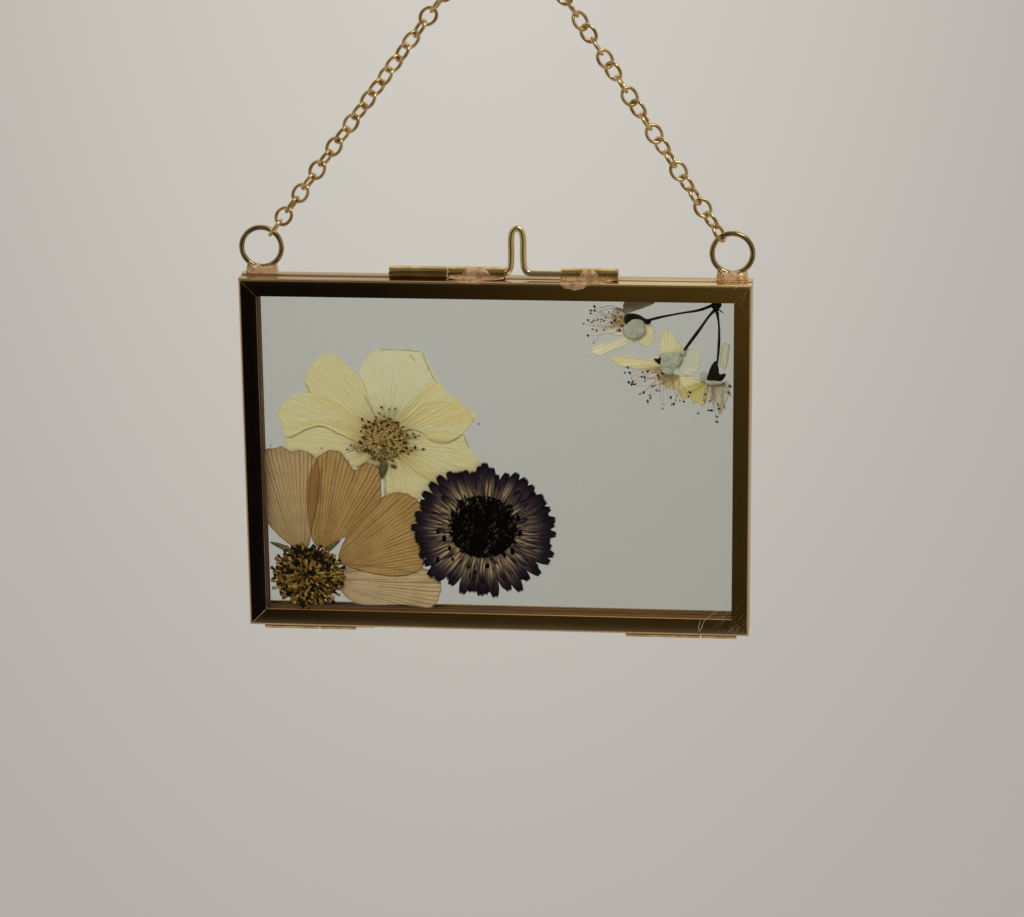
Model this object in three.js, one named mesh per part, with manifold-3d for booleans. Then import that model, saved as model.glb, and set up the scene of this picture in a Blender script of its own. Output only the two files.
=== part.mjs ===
// Hinged double-glass brass frame on a chain, with four pressed flowers between its panes.
// Millimetres, +X right, +Y away from the viewer of the front, +Z up.
// The origin is the hang point: the inside top of the chain's top link.

import * as THREE from "three";
import { mergeVertices } from "three/addons/utils/BufferGeometryUtils.js";
import Module from "manifold-3d";

// ---------------------------------------------------------------- driving dimensions

const frameWidth = 105.7;
const frameHeight = 75.7;
const faceWidth = 3.65; // what each channel shows from the front
const halfDepth = 3.3; // each half, front to back
const halfGap = 0.4; // between the closed halves
const flange = 0.45;
const grooveDepth = 2.6; // from the channel's inner edge
const mitreGap = 0.05;

const paneThickness = 1.8;
const paneInGroove = 2.3;

const frameX = -3.05; // the chain is caught a little right of the frame's middle
const frameZ = -115.55; // the frame's middle, below the hang point
const pressedX = -3.3; // the middle that the flowers are laid out from
const pressedZ = -115.4;
const backMiddle = 0; // the rings and the chain lie in the back half's middle plane
const seamY = backMiddle - halfDepth / 2 - halfGap / 2;
const frontMiddle = seamY - halfGap / 2 - halfDepth / 2;
const top = frameHeight / 2;
const side = frameWidth / 2;

const ringX = 48.6;
const ringOuter = 9.4;
const ringWire = 1.1;
const ringAboveTop = 5.5; // ring centre over the frame's top edge
const footSize = { x: 3.4, y: 1.3, z: 1.8 };

const tubeOuter = 1.2; // latch tubes, radius
const tubeBore = 0.85;
const latchTubes = [
  { name: "latch_tube_back", from: -21.8, to: -9.9, padY: [0.4, 1.5] },
  { name: "latch_tube_front_left", from: -9.6, to: 2.2, padY: [-2.2, -0.4] },
  { name: "latch_tube_front_right", from: 13.7, to: 25.4, padY: [-2.2, -0.4] },
];
const latchAxisZ = top + tubeOuter;
const padInset = 3.6; // solder pad, from each end of its tube
const padHeight = 0.75;

const pinWire = 0.66; // radius
// The latch wire from its left end to its right, [x, height over the latch axis].
const pinRoute = [
  [-9.2, 0], [-6.2, 0], [-3.2, 0], [-0.2, 0], [1.4, 0], [2.1, 0.02], [2.75, 0.35], [3.2, 1.2],
  [3.38, 2.6], [3.43, 4.6], [3.43, 7.2], [3.75, 8.75], [4.67, 9.45], [5.58, 8.75], [5.9, 7.2],
  [5.9, 4.6], [5.93, 2.6], [6.1, 1.2], [6.55, 0.35], [7.3, 0.02], [8.2, 0], [10.5, 0], [14, 0],
  [18, 0], [22.2, 0],
];

const knuckleOuter = 0.85; // hinge, radius
const knuckleBore = 0.58;
const hingePinRadius = 0.38;
const hingeDrop = 0.95; // hinge axis below the frame's bottom edge
const hingeFoot = { reach: 1.9, start: 0.25, height: 0.65, inset: 0.8 };
const hinges = [
  { side: "left", front: [-50.1, -38.5], back: [-38.2, -30.6], pin: [-49.8, -26.8] },
  { side: "right", front: [42.8, 50.2], back: [26.8, 42.5], pin: [27.1, 49.9] },
];

const chainWire = 0.76;
const chainWidth = 3.8;
const chainPitch = 3.05; // the inside length of a link
const strandStartX = 0.42;
const strandGap = { top: 3.2, ring: 0.95 }; // from the ends to the top link's catch and the ring's wire

// The specimens' layers, as [front, back] in Y between the two panes.
const creamLayers = [[-1.2, -1.08], [-1.35, -1.23], [-1.5, -1.38]];
const creamStamenLayer = [-1.9, -1.55];
const cosmosLayers = [[-2.07, -1.95], [-2.22, -2.1]];
const cosmosDiscLayer = [-2.65, -2.27];
const daisyLayers = { outer: [-2.44, -2.3], inner: [-2.62, -2.48], head: [-2.65, -1.6] };
const sprigLayers = {
  petal: [[-1.38, -1.26], [-1.55, -1.43]],
  stamens: [-1.9, -1.6],
  calyx: [-2.3, -1.95],
  stem: -1.8,
};

// Petal outlines, [x, z] from the flowers' middle.
const creamPetals = [
  ["top", 0, [[-23.6, 3.6], [-25.2, 7.5], [-26.8, 11.5], [-27.6, 14.5], [-28.2, 17.9], [-26.7, 20.3],
    [-24.8, 22.1], [-19.8, 22.2], [-15.4, 22.0], [-13.8, 19.5], [-12.2, 15.4], [-15.2, 11.5],
    [-18.6, 7.5], [-21.5, 3.8]]],
  ["upper_left", 1, [[-24.8, 5.2], [-25.6, 8.5], [-26.6, 12.0], [-27.7, 15.3], [-30.4, 18.3],
    [-33.7, 21.0], [-36.6, 20.4], [-39.0, 17.5], [-39.9, 14.0], [-38.3, 11.2], [-33.1, 8.6],
    [-28.4, 5.6]]],
  ["left", 2, [[-24.6, 3.0], [-27.2, 6.4], [-30.2, 9.0], [-33.1, 11.1], [-40.0, 12.5], [-43.2, 11.4],
    [-45.6, 8.3], [-44.9, 5.2], [-43.8, 2.8], [-40.2, 4.4], [-37.0, 5.4], [-32.8, 3.7],
    [-29.5, 2.3], [-26.6, 1.2]]],
  ["lower_left", 0, [[-24.8, 1.4], [-27.5, 4.2], [-30.7, 5.6], [-34.9, 6.8], [-40.2, 6.3],
    [-44.1, 3.2], [-44.0, 0.0], [-41.5, -2.4], [-36.2, -4.0], [-30.0, -3.6], [-27.2, -2.4],
    [-25.4, -0.6]]],
  ["bottom", 0, [[-23.4, 1.0], [-24.4, -1.6], [-24.5, -4.5], [-23.7, -6.6], [-23.6, -9.6],
    [-21.3, -10.6], [-17.3, -10.5], [-13.2, -8.4], [-11.5, -5.5], [-13.5, -3.0], [-17.5, -0.5],
    [-21.0, 1.5]]],
  ["lower_right", 1, [[-20.6, 2.4], [-17.0, 4.4], [-11.7, 4.8], [-6.9, 4.2], [-5.1, 0.5],
    [-2.8, -3.1], [-5.2, -6.0], [-9.9, -7.7], [-15.1, -5.4], [-19.4, -2.0], [-21.6, 0.4]]],
  ["right", 2, [[-21.2, 4.2], [-20.0, 7.4], [-18.0, 9.7], [-14.8, 11.5], [-10.6, 11.6], [-7.9, 11.2],
    [-5.4, 9.0], [-4.6, 7.7], [-6.9, 4.2], [-9.7, 2.3], [-13.3, 2.5], [-15.6, 4.3], [-18.4, 4.9]]],
  ["upper_right", 1, [[-21.6, 5.2], [-19.4, 9.0], [-15.6, 13.2], [-12.2, 15.6], [-9.9, 13.1],
    [-6.8, 10.7], [-3.9, 8.0], [-5.9, 6.2], [-11.7, 5.8], [-17.0, 5.7]]],
];
const creamStamens = { x: -23.3, z: 2.1, rx: 8.2, rz: 8.0 };

const cosmosPetals = [
  ["left", 1, [[-41.9, -22.1], [-44.7, -20.1], [-46.9, -18.0], [-48.5, -15.8], [-48.6, -8.0],
    [-48.4, 0.3], [-46.8, 0.5], [-45.1, 1.0], [-43.0, -0.1], [-40.6, 0.2], [-37.8, -1.5],
    [-37.2, -4.7], [-37.5, -9.8], [-39.0, -16.4], [-40.2, -21.6]]],
  ["upper", 0, [[-38.3, -20.9], [-39.8, -15.8], [-39.7, -6.5], [-37.7, -1.5], [-35.4, 0.1],
    [-33.0, 0.2], [-31.4, -1.7], [-29.7, -3.9], [-27.0, -2.3], [-24.7, -3.5], [-24.2, -7.3],
    [-24.4, -10.6], [-27.2, -14.6], [-31.0, -18.4], [-33.4, -19.4], [-35.2, -21.0]]],
  ["right", 1, [[-33.6, -23.2], [-32.6, -20.2], [-31.0, -17.6], [-27.2, -13.0], [-24.2, -9.9],
    [-20.3, -8.6], [-16.8, -10.0], [-14.5, -13.7], [-14.9, -21.5], [-16.0, -25.4], [-20.7, -27.2],
    [-27.1, -26.6], [-31.0, -25.6], [-33.0, -24.8]]],
  ["lower", 0, [[-33.5, -26.6], [-30.9, -25.4], [-22.8, -24.8], [-15.4, -25.4], [-12.4, -27.0],
    [-12.1, -31.2], [-14.0, -34.0], [-19.8, -33.7], [-29.4, -33.8], [-31.7, -32.6], [-34.0, -29.5]]],
];
const cosmosDisc = { x: -40.2, z: -27.4, rx: 7.4, rz: 6.9 };

const daisy = { x: -2.65, z: -16.8, rx: 15.3, rz: 14.1 }; // to the middle of the floret tips
const daisyHead = { x: -2.9, z: -15.7, rx: 7.3, rz: 6.9 };
const daisyFlorets = { outer: 30, inner: 26, wave: 0.035, innerShare: 0.84, throat: 1.05 };

const sprigStems = [
  { radius: 0.28, points: [[45.6, 33.1], [42.4, 31.8], [38.3, 31.0], [34.2, 30.1], [31.7, 29.6]] },
  { radius: 0.34, points: [[44.7, 31.4], [42.1, 27.4], [39.4, 23.9]] },
  { radius: 0.28, points: [[45.9, 31.4], [46.3, 28.6], [46.3, 24.3], [46.0, 21.5]] },
];
const sprigBud = { x: 45.6, z: 33.0, radius: 0.7 };
const blossoms = [
  {
    calyx: [[31.3, 30.0], [31.3, 28.5], [30.9, 26.6], [29.6, 25.5], [27.6, 25.5], [26.8, 27.0],
      [26.9, 30.2], [28.6, 30.9], [30.0, 30.6]],
    stamens: [[27.0, 31.0], [23.9, 32.7], [19.8, 31.7], [18.1, 28.7], [18.9, 25.8], [20.6, 24.3],
      [26.4, 25.7]],
    petals: [
      ["side", 0, [[28.4, 25.2], [30.2, 26.5], [31.1, 28.6], [32.6, 28.4], [33.0, 26.4], [32.8, 24.0],
        [30.9, 23.8], [29.2, 24.6]]],
      ["long", 1, [[28.0, 26.2], [24.5, 24.9], [20.2, 23.3], [19.8, 22.3], [21.4, 21.7], [24.5, 22.8],
        [28.2, 24.8]]],
    ],
  },
  {
    calyx: [[38.4, 22.6], [38.7, 21.4], [38.2, 20.0], [37.0, 18.4], [35.6, 17.6], [34.6, 18.4],
      [33.9, 20.2], [33.9, 21.6], [35.2, 22.4], [36.8, 22.7]],
    stamens: [[33.2, 19.6], [27.6, 19.3], [26.8, 18.0], [27.6, 15.4], [29.6, 12.9], [31.7, 11.6],
      [35.0, 10.4], [38.9, 11.8], [40.4, 14.2], [35.8, 17.1]],
    petals: [
      ["top", 0, [[34.1, 21.8], [34.1, 24.6], [34.5, 26.6], [35.3, 27.3], [36.6, 26.8], [37.7, 25.2],
        [38.6, 23.4], [38.2, 21.8]]],
      ["left", 1, [[34.2, 20.8], [30.1, 21.3], [26.5, 21.9], [24.2, 21.3], [24.4, 20.2], [27.0, 19.3],
        [30.5, 18.8], [34.4, 18.8]]],
      ["right", 1, [[38.2, 22.6], [40.5, 23.6], [42.2, 22.6], [42.4, 20.0], [41.6, 18.2], [39.5, 17.8],
        [37.8, 19.0]]],
      ["lower", 0, [[34.6, 18.6], [37.5, 18.0], [41.2, 17.2], [43.0, 16.0], [41.5, 14.6], [38.0, 14.6],
        [35.2, 15.4], [33.8, 17.0]]],
    ],
  },
  {
    calyx: [[45.7, 21.1], [46.5, 18.8], [47.8, 18.4], [47.0, 16.9], [44.9, 16.8], [43.0, 16.6],
      [42.4, 17.2], [43.0, 18.7], [43.9, 18.3], [44.7, 20.2]],
    stamens: [[43.3, 13.8], [41.8, 9.7], [43.5, 9.3], [46.0, 7.8], [48.0, 8.3], [47.8, 12.6],
      [46.6, 13.4]],
    petals: [
      ["upper", 0, [[46.7, 19.4], [46.8, 23.6], [47.3, 24.9], [48.2, 25.0], [48.6, 24.0], [48.3, 22.0],
        [47.7, 19.3]]],
      ["right", 0, [[44.2, 16.6], [46.5, 16.8], [48.7, 16.0], [48.3, 13.2], [47.4, 10.6], [46.4, 9.2],
        [45.8, 11.5], [44.3, 13.6]]],
      ["left", 1, [[43.4, 16.4], [40.5, 15.8], [38.5, 14.7], [38.6, 13.4], [40.4, 12.7], [41.5, 11.8],
        [43.5, 11.5], [43.9, 14.0]]],
    ],
  },
];

// Facets.
const tubeSides = 24;
const wireSides = 8;
const ringSegments = 28;
const linkSegments = 24;
const footSegments = [16, 10];
const budSegments = [12, 8];
const pinSteps = 64;
const strandSteps = 10;
const stemSteps = 8;
const petalSpan = 3; // edge points for each outline point
const blossomSpan = 2;
const ovalPoints = 40;
const weldReach = 1e-4;
const overlap = 0.02; // between pieces that are joined in one solid

// ---------------------------------------------------------------- finishes

function finish(color, roughness, metalness) {
  return new THREE.MeshStandardMaterial({ color, roughness, metalness });
}

const frameBrass = finish(0x8a6a32, 0.18, 1);
const tubeBrass = finish(0xb08a45, 0.25, 1);
const chainGold = finish(0xd9a94a, 0.2, 1);
const paneGlass = new THREE.MeshStandardMaterial({
  color: 0xdfe7e2, roughness: 0.03, metalness: 0, transparent: true, opacity: 0.3,
});
const creamPetal = finish(0xcfc48a, 0.75, 0);
const creamStamen = finish(0x6b4a1e, 0.9, 0);
const cosmosPetal = finish(0xa9875a, 0.75, 0);
const cosmosGrain = finish(0x8a6a1c, 0.9, 0);
const daisyDark = finish(0x2a2030, 0.8, 0);
const sprigPetal = finish(0xd3c684, 0.75, 0);
const sprigDark = finish(0x1f1a14, 0.85, 0);
const sprigStamen = finish(0x7a5a3a, 0.9, 0);

// ---------------------------------------------------------------- helpers

const wasm = await Module();
wasm.setup();

function toSolid(geometry) {
  const bare = geometry.clone();
  bare.deleteAttribute("normal");
  bare.deleteAttribute("uv");
  const welded = mergeVertices(bare, weldReach);
  return new wasm.Manifold(
    new wasm.Mesh({
      numProp: 3,
      vertProperties: new Float32Array(welded.attributes.position.array),
      triVerts: new Uint32Array(welded.index.array),
    }),
  );
}

function fromSolid(solid) {
  const mesh = solid.getMesh();
  const geometry = new THREE.BufferGeometry();
  geometry.setAttribute("position", new THREE.BufferAttribute(new Float32Array(mesh.vertProperties), 3));
  geometry.setIndex(new THREE.BufferAttribute(new Uint32Array(mesh.triVerts), 1));
  geometry.computeVertexNormals();
  return geometry;
}

function addPiece(group, name, geometry, material) {
  const mesh = new THREE.Mesh(geometry, material);
  mesh.name = name;
  group.add(mesh);
  return mesh;
}

// A box from two corners.
function boxBetween(low, high) {
  const size = high.map((v, i) => v - low[i]);
  const box = new THREE.BoxGeometry(...size);
  return box.translate(...low.map((v, i) => v + size[i] / 2));
}

// A hollow tube, or a rod when bore is 0, along X from x0 to x1, centred on y and z.
function tubeAlongX(x0, x1, outer, bore, y, z) {
  const profile = [[bore, x0], [outer, x0], [outer, x1], [bore, x1], [bore, x0]];
  const points = profile.map(([r, h]) => new THREE.Vector2(r, h));
  return new THREE.LatheGeometry(points, tubeSides).rotateZ(-Math.PI / 2).translate(0, y, z);
}

// A closed ring of wire standing in the XZ plane.
function wireRing(mean, radius, segments) {
  const section = Array.from({ length: wireSides + 1 }, (_, i) => {
    const turn = ((i + 0.5) / wireSides) * 2 * Math.PI;
    return new THREE.Vector2(mean + radius * Math.cos(turn), radius * Math.sin(turn));
  });
  return new THREE.LatheGeometry(section, segments);
}

function roundWire(curve, radius, steps) {
  const section = Array.from({ length: wireSides }, (_, i) => {
    const turn = ((i + 0.5) / wireSides) * 2 * Math.PI;
    return new THREE.Vector2(radius * Math.cos(turn), radius * Math.sin(turn));
  });
  const options = { extrudePath: curve, steps, bevelEnabled: false, curveSegments: 1 };
  return new THREE.ExtrudeGeometry(new THREE.Shape(section), options);
}

// A flat plate in the XZ plane between two Y values, from a closed outline and an optional hole.
function plate(outline, [front, back], hole = null) {
  const shape = new THREE.Shape(outline);
  if (hole) shape.holes.push(new THREE.Path(hole));
  const geometry = new THREE.ExtrudeGeometry(shape, { depth: back - front, bevelEnabled: false });
  return geometry.rotateX(Math.PI / 2).translate(0, back, 0);
}

function smoothOutline(points, perSpan) {
  const corners = points.map(([x, z]) => new THREE.Vector3(x, z, 0));
  const curve = new THREE.CatmullRomCurve3(corners, true, "centripetal");
  return curve.getPoints(points.length * perSpan).slice(0, -1).map((p) => new THREE.Vector2(p.x, p.y));
}

// An oval, or with waves an oval whose edge is scalloped.
function ovalOutline({ x, z, rx, rz }, share = 1, waves = 0, wave = 0, count = ovalPoints) {
  return Array.from({ length: count }, (_, i) => {
    const turn = (i / count) * 2 * Math.PI;
    const reach = share * (1 + wave * Math.cos(waves * turn));
    return new THREE.Vector2(x + rx * reach * Math.cos(turn), z + rz * reach * Math.sin(turn));
  });
}

// ---------------------------------------------------------------- the two channel frames

// A U channel of the given outer length, its ends mitred at 45 degrees, lying along X with its
// web up and its open side down. Its outer edge is at z = 0.
function mitredChannel(length) {
  const half = halfDepth / 2;
  const web = faceWidth - grooveDepth;
  const profile = [
    [-half, 0], [-half, -faceWidth], [-half + flange, -faceWidth], [-half + flange, -web],
    [half - flange, -web], [half - flange, -faceWidth], [half, -faceWidth], [half, 0],
  ];
  const section = new THREE.Shape(profile.map(([y, z]) => new THREE.Vector2(y, z)));
  const geometry = new THREE.ExtrudeGeometry(section, { depth: length, bevelEnabled: false });
  geometry.translate(0, 0, -length / 2);
  const place = geometry.attributes.position;
  for (let i = 0; i < place.count; i += 1) {
    const [across, outward, along] = [place.getX(i), place.getY(i), place.getZ(i)];
    const reach = length / 2 + outward - mitreGap / 2;
    place.setXYZ(i, Math.sign(along) * reach, across, outward);
  }
  geometry.computeVertexNormals();
  return geometry;
}

function addChannels(group, prefix, middleY) {
  const runs = [
    ["rail_top", frameWidth, 0, 0, top],
    ["stile_left", frameHeight, -Math.PI / 2, -side, 0],
    ["rail_bottom", frameWidth, Math.PI, 0, -top],
    ["stile_right", frameHeight, Math.PI / 2, side, 0],
  ];
  for (const [name, length, turn, x, z] of runs) {
    const channel = mitredChannel(length).rotateY(turn).translate(x, middleY, z);
    addPiece(group, `${prefix}_${name}`, channel, frameBrass);
  }
}

function addPane(group, name, middleY) {
  const x = side - faceWidth + paneInGroove;
  const z = top - faceWidth + paneInGroove;
  const half = paneThickness / 2;
  addPiece(group, name, boxBetween([-x, middleY - half, -z], [x, middleY + half, z]), paneGlass);
}

// ---------------------------------------------------------------- rings, latch and hinges

function addRings(group) {
  const mean = (ringOuter - ringWire) / 2;
  for (const [name, sign] of [["hanging_ring_left", -1], ["hanging_ring_right", 1]]) {
    const ring = wireRing(mean, ringWire / 2, ringSegments);
    ring.translate(sign * ringX, backMiddle, top + ringAboveTop);
    const foot = new THREE.SphereGeometry(1, ...footSegments)
      .scale(footSize.x, footSize.y, footSize.z)
      .translate(sign * ringX, backMiddle, top);
    const aboveRail = boxBetween([-side, -halfDepth, top], [side, halfDepth, top + 2 * footSize.z]);
    const solder = toSolid(foot).intersect(toSolid(aboveRail));
    addPiece(group, name, fromSolid(toSolid(ring).add(solder)), tubeBrass);
  }
}

function addLatchTubes(group) {
  for (const { name, from, to, padY } of latchTubes) {
    const tube = toSolid(tubeAlongX(from, to, tubeOuter, tubeBore, seamY, latchAxisZ));
    const bore = toSolid(tubeAlongX(from - 1, to + 1, tubeBore, 0, seamY, latchAxisZ));
    const low = [from + padInset, seamY + padY[0], top];
    const high = [to - padInset, seamY + padY[1], top + padHeight];
    const pad = toSolid(boxBetween(low, high)).subtract(bore);
    addPiece(group, name, fromSolid(tube.add(pad)), tubeBrass);
  }
}

// One wire: straight through the front half's tubes, with a narrow loop standing up between them.
function addLatchPin(group) {
  const route = pinRoute.map(([x, z]) => new THREE.Vector3(x, seamY, latchAxisZ + z));
  const curve = new THREE.CatmullRomCurve3(route, false, "centripetal");
  addPiece(group, "latch_pin", roundWire(curve, pinWire, pinSteps), tubeBrass);
}

function addHinges(group) {
  const axisZ = -top - hingeDrop;
  const { reach, start, height, inset } = hingeFoot;
  for (const hinge of hinges) {
    for (const [half, facing] of [["front", -1], ["back", 1]]) {
      const [from, to] = hinge[half];
      const tube = toSolid(tubeAlongX(from, to, knuckleOuter, knuckleBore, seamY, axisZ));
      const bore = toSolid(tubeAlongX(from - 1, to + 1, knuckleBore, 0, seamY, axisZ));
      const nearY = seamY + facing * start;
      const farY = seamY + facing * reach;
      const low = [from + inset, Math.min(nearY, farY), -top - height];
      const high = [to - inset, Math.max(nearY, farY), -top];
      const foot = toSolid(boxBetween(low, high)).subtract(bore);
      addPiece(group, `hinge_${hinge.side}_knuckle_${half}`, fromSolid(tube.add(foot)), tubeBrass);
    }
    const pin = tubeAlongX(...hinge.pin, hingePinRadius, 0, seamY, axisZ);
    addPiece(group, `hinge_${hinge.side}_pin`, pin, chainGold);
  }
}

// ---------------------------------------------------------------- the chain

// One arch of wire at each end, joined by two straight legs.
function addTopLink(group) {
  const bend = (chainWidth - chainWire) / 2;
  const reach = (chainPitch + chainWire) / 2 - bend; // middle of the link to its bends
  const ring = toSolid(wireRing(bend, chainWire / 2, linkSegments));
  const upperHalf = toSolid(boxBetween([-chainWidth, -chainWire, 0], [chainWidth, chainWire, chainWidth]));
  const arch = fromSolid(ring.intersect(upperHalf)).translate(0, 0, reach);
  const legs = [-bend, bend].map((x) =>
    new THREE.CylinderGeometry(chainWire / 2, chainWire / 2, 2 * reach + overlap, wireSides)
      .rotateY(Math.PI / wireSides)
      .rotateX(Math.PI / 2)
      .translate(x, 0, 0),
  );
  const pieces = [arch, arch.clone().rotateY(Math.PI), ...legs].map(toSolid);
  const link = fromSolid(pieces.reduce((whole, next) => whole.add(next)));
  addPiece(group, "chain_top_link", link.translate(0, 0, -chainPitch / 2), chainGold);
}

// Each strand runs straight from the bottom of the top link to the top of its ring.
function addStrands(group) {
  const catchZ = -chainPitch + chainWire / 2;
  for (const [name, sign] of [["chain_left", -1], ["chain_right", 1]]) {
    const start = new THREE.Vector3(sign * strandStartX, backMiddle, catchZ);
    const ring = new THREE.Vector3(frameX + sign * ringX, backMiddle, frameZ + top + ringAboveTop);
    const along = ring.clone().sub(start).normalize();
    const wireTop = ring.clone().addScaledVector(along, -(ringOuter - ringWire) / 2);
    const from = start.clone().addScaledVector(along, strandGap.top);
    const to = wireTop.clone().addScaledVector(along, -strandGap.ring);
    const strand = roundWire(new THREE.LineCurve3(from, to), chainWidth / 2, strandSteps);
    addPiece(group, name, strand, chainGold);
  }
}

// ---------------------------------------------------------------- the pressed flowers

function addCreamFlower(group) {
  for (const [name, layer, outline] of creamPetals) {
    const sheet = plate(smoothOutline(outline, petalSpan), creamLayers[layer]);
    addPiece(group, `cream_petal_${name}`, sheet, creamPetal);
  }
  addPiece(group, "cream_stamens", plate(ovalOutline(creamStamens), creamStamenLayer), creamStamen);
}

function addCosmos(group) {
  for (const [name, layer, outline] of cosmosPetals) {
    const sheet = plate(smoothOutline(outline, petalSpan), cosmosLayers[layer]);
    addPiece(group, `cosmos_petal_${name}`, sheet, cosmosPetal);
  }
  addPiece(group, "cosmos_disc", plate(ovalOutline(cosmosDisc), cosmosDiscLayer), cosmosGrain);
}

function addDarkDaisy(group) {
  const { outer, inner, wave, innerShare, throat } = daisyFlorets;
  const hole = ovalOutline(daisyHead, throat);
  const outerEdge = ovalOutline(daisy, 1, outer, wave, outer * 4);
  const innerEdge = ovalOutline(daisy, innerShare, inner, wave, inner * 4);
  addPiece(group, "dark_daisy_outer_florets", plate(outerEdge, daisyLayers.outer, hole), daisyDark);
  addPiece(group, "dark_daisy_inner_florets", plate(innerEdge, daisyLayers.inner, hole), daisyDark);
  addPiece(group, "dark_daisy_head", plate(ovalOutline(daisyHead), daisyLayers.head), daisyDark);
}

// The first stem ends in the bud from which the others branch.
function addSprig(group) {
  sprigStems.forEach(({ radius, points }, i) => {
    const route = points.map(([x, z]) => new THREE.Vector3(x, sprigLayers.stem, z));
    let stem = roundWire(new THREE.CatmullRomCurve3(route), radius, stemSteps);
    if (i === 0) {
      const bud = new THREE.SphereGeometry(sprigBud.radius, ...budSegments);
      bud.translate(sprigBud.x, sprigLayers.stem, sprigBud.z);
      stem = fromSolid(toSolid(stem).add(toSolid(bud)));
    }
    addPiece(group, `sprig_stem_${i + 1}`, stem, sprigDark);
  });
  blossoms.forEach(({ calyx, stamens, petals }, i) => {
    const name = `sprig_blossom_${i + 1}`;
    const cup = plate(smoothOutline(calyx, blossomSpan), sprigLayers.calyx);
    addPiece(group, `${name}_calyx`, cup, sprigDark);
    const fan = plate(smoothOutline(stamens, blossomSpan), sprigLayers.stamens);
    addPiece(group, `${name}_stamens`, fan, sprigStamen);
    for (const [petal, layer, outline] of petals) {
      const sheet = plate(smoothOutline(outline, blossomSpan), sprigLayers.petal[layer]);
      addPiece(group, `${name}_petal_${petal}`, sheet, sprigPetal);
    }
  });
}

// ---------------------------------------------------------------- assembly

const object = new THREE.Group();
const frame = new THREE.Group();
frame.position.set(frameX, 0, frameZ);
object.add(frame);
const pressed = new THREE.Group();
pressed.position.set(pressedX, 0, pressedZ);
object.add(pressed);

addChannels(frame, "back", backMiddle);
addChannels(frame, "front", frontMiddle);
addPane(frame, "back_pane", backMiddle);
addPane(frame, "front_pane", frontMiddle);
addRings(frame);
addLatchTubes(frame);
addLatchPin(frame);
addHinges(frame);
addCreamFlower(pressed);
addCosmos(pressed);
addDarkDaisy(pressed);
addSprig(pressed);
addTopLink(object);
addStrands(object);

export default object;
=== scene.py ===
import math

import bmesh
import bpy
import numpy as np
from mathutils import Matrix, Vector, geometry, noise


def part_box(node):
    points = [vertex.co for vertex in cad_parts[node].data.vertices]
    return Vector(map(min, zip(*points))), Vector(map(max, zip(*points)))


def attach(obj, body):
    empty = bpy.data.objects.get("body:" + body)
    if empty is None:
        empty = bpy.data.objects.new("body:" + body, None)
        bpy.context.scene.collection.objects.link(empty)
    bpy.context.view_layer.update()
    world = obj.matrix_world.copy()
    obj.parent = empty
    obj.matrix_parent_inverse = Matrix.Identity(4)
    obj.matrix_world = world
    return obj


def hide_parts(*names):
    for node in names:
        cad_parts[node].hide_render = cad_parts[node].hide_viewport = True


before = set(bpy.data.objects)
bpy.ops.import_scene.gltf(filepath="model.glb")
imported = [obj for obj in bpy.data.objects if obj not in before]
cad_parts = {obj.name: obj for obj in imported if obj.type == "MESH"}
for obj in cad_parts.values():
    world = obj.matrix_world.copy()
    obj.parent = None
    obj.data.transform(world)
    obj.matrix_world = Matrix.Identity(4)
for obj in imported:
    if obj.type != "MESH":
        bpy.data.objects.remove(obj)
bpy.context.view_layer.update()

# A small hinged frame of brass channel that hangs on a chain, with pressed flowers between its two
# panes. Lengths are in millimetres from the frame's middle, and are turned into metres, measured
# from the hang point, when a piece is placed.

MM = 0.001
SEED = 7

# --- sizes, in millimetres

FRAME_AT = Vector((-3.05, 0.0, -115.55))  # the frame's middle, from the hang point
FLOWERS_AT = Vector((-3.3, 0.0, -115.4))  # the middle that the flowers are laid out from
WIDTH, HEIGHT = 105.7, 75.7
TOP, SIDE = HEIGHT / 2, WIDTH / 2
FACE = 3.65
HALF_DEPTH = 3.3
FLANGE = 0.45
GROOVE = 2.6
PRESSED_FROM = -2.45  # where petals and florets begin to flatten against the front pane
PRESSED_ROOM = 0.3  # how far past that they can reach
MITRE_GAP = 0.05
FOLD_FRONT, FOLD_SEAM = 0.5, 0.85  # how far the channel's folded edges are rounded
FOLD_STEPS = 8
SEAM_Y, FRONT_Y, BACK_Y = -1.85, -3.7, 0.0
FRONT_FACE_Y = FRONT_Y - HALF_DEPTH / 2

RING_X, RING_Z, RING_MEAN, RING_WIRE = 48.6, TOP + 5.5, 4.15, 0.55

TUBE_OUTER, TUBE_BORE = 1.2, 0.85
LATCH_Z = TOP + TUBE_OUTER
PIN_WIRE = 0.7
PIN_ROUTE = [
    (-9.2, 0), (-6.2, 0), (-3.2, 0), (-0.2, 0), (1.4, 0), (2.1, 0.02), (2.75, 0.35), (3.2, 1.2),
    (3.38, 2.6), (3.43, 4.6), (3.43, 7.2), (3.75, 8.75), (4.67, 9.45), (5.58, 8.75), (5.9, 7.2), (5.9, 4.6),
    (5.93, 2.6), (6.1, 1.2), (6.55, 0.35), (7.3, 0.02), (8.2, 0), (10.5, 0), (14, 0), (18, 0), (22.2, 0),
]
KNUCKLE_OUTER, KNUCKLE_BORE, HINGE_PIN = 0.85, 0.58, 0.38
HINGE_Z = -TOP - 0.95

LINK_WIRE, LINK_WIDTH, LINK_PITCH = 0.76, 3.8, 3.05
LINK_LENGTH = LINK_PITCH + 2 * LINK_WIRE
STRAND_START = (0.42, 0.0, -LINK_PITCH + LINK_WIRE / 2)

# --- camera


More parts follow.
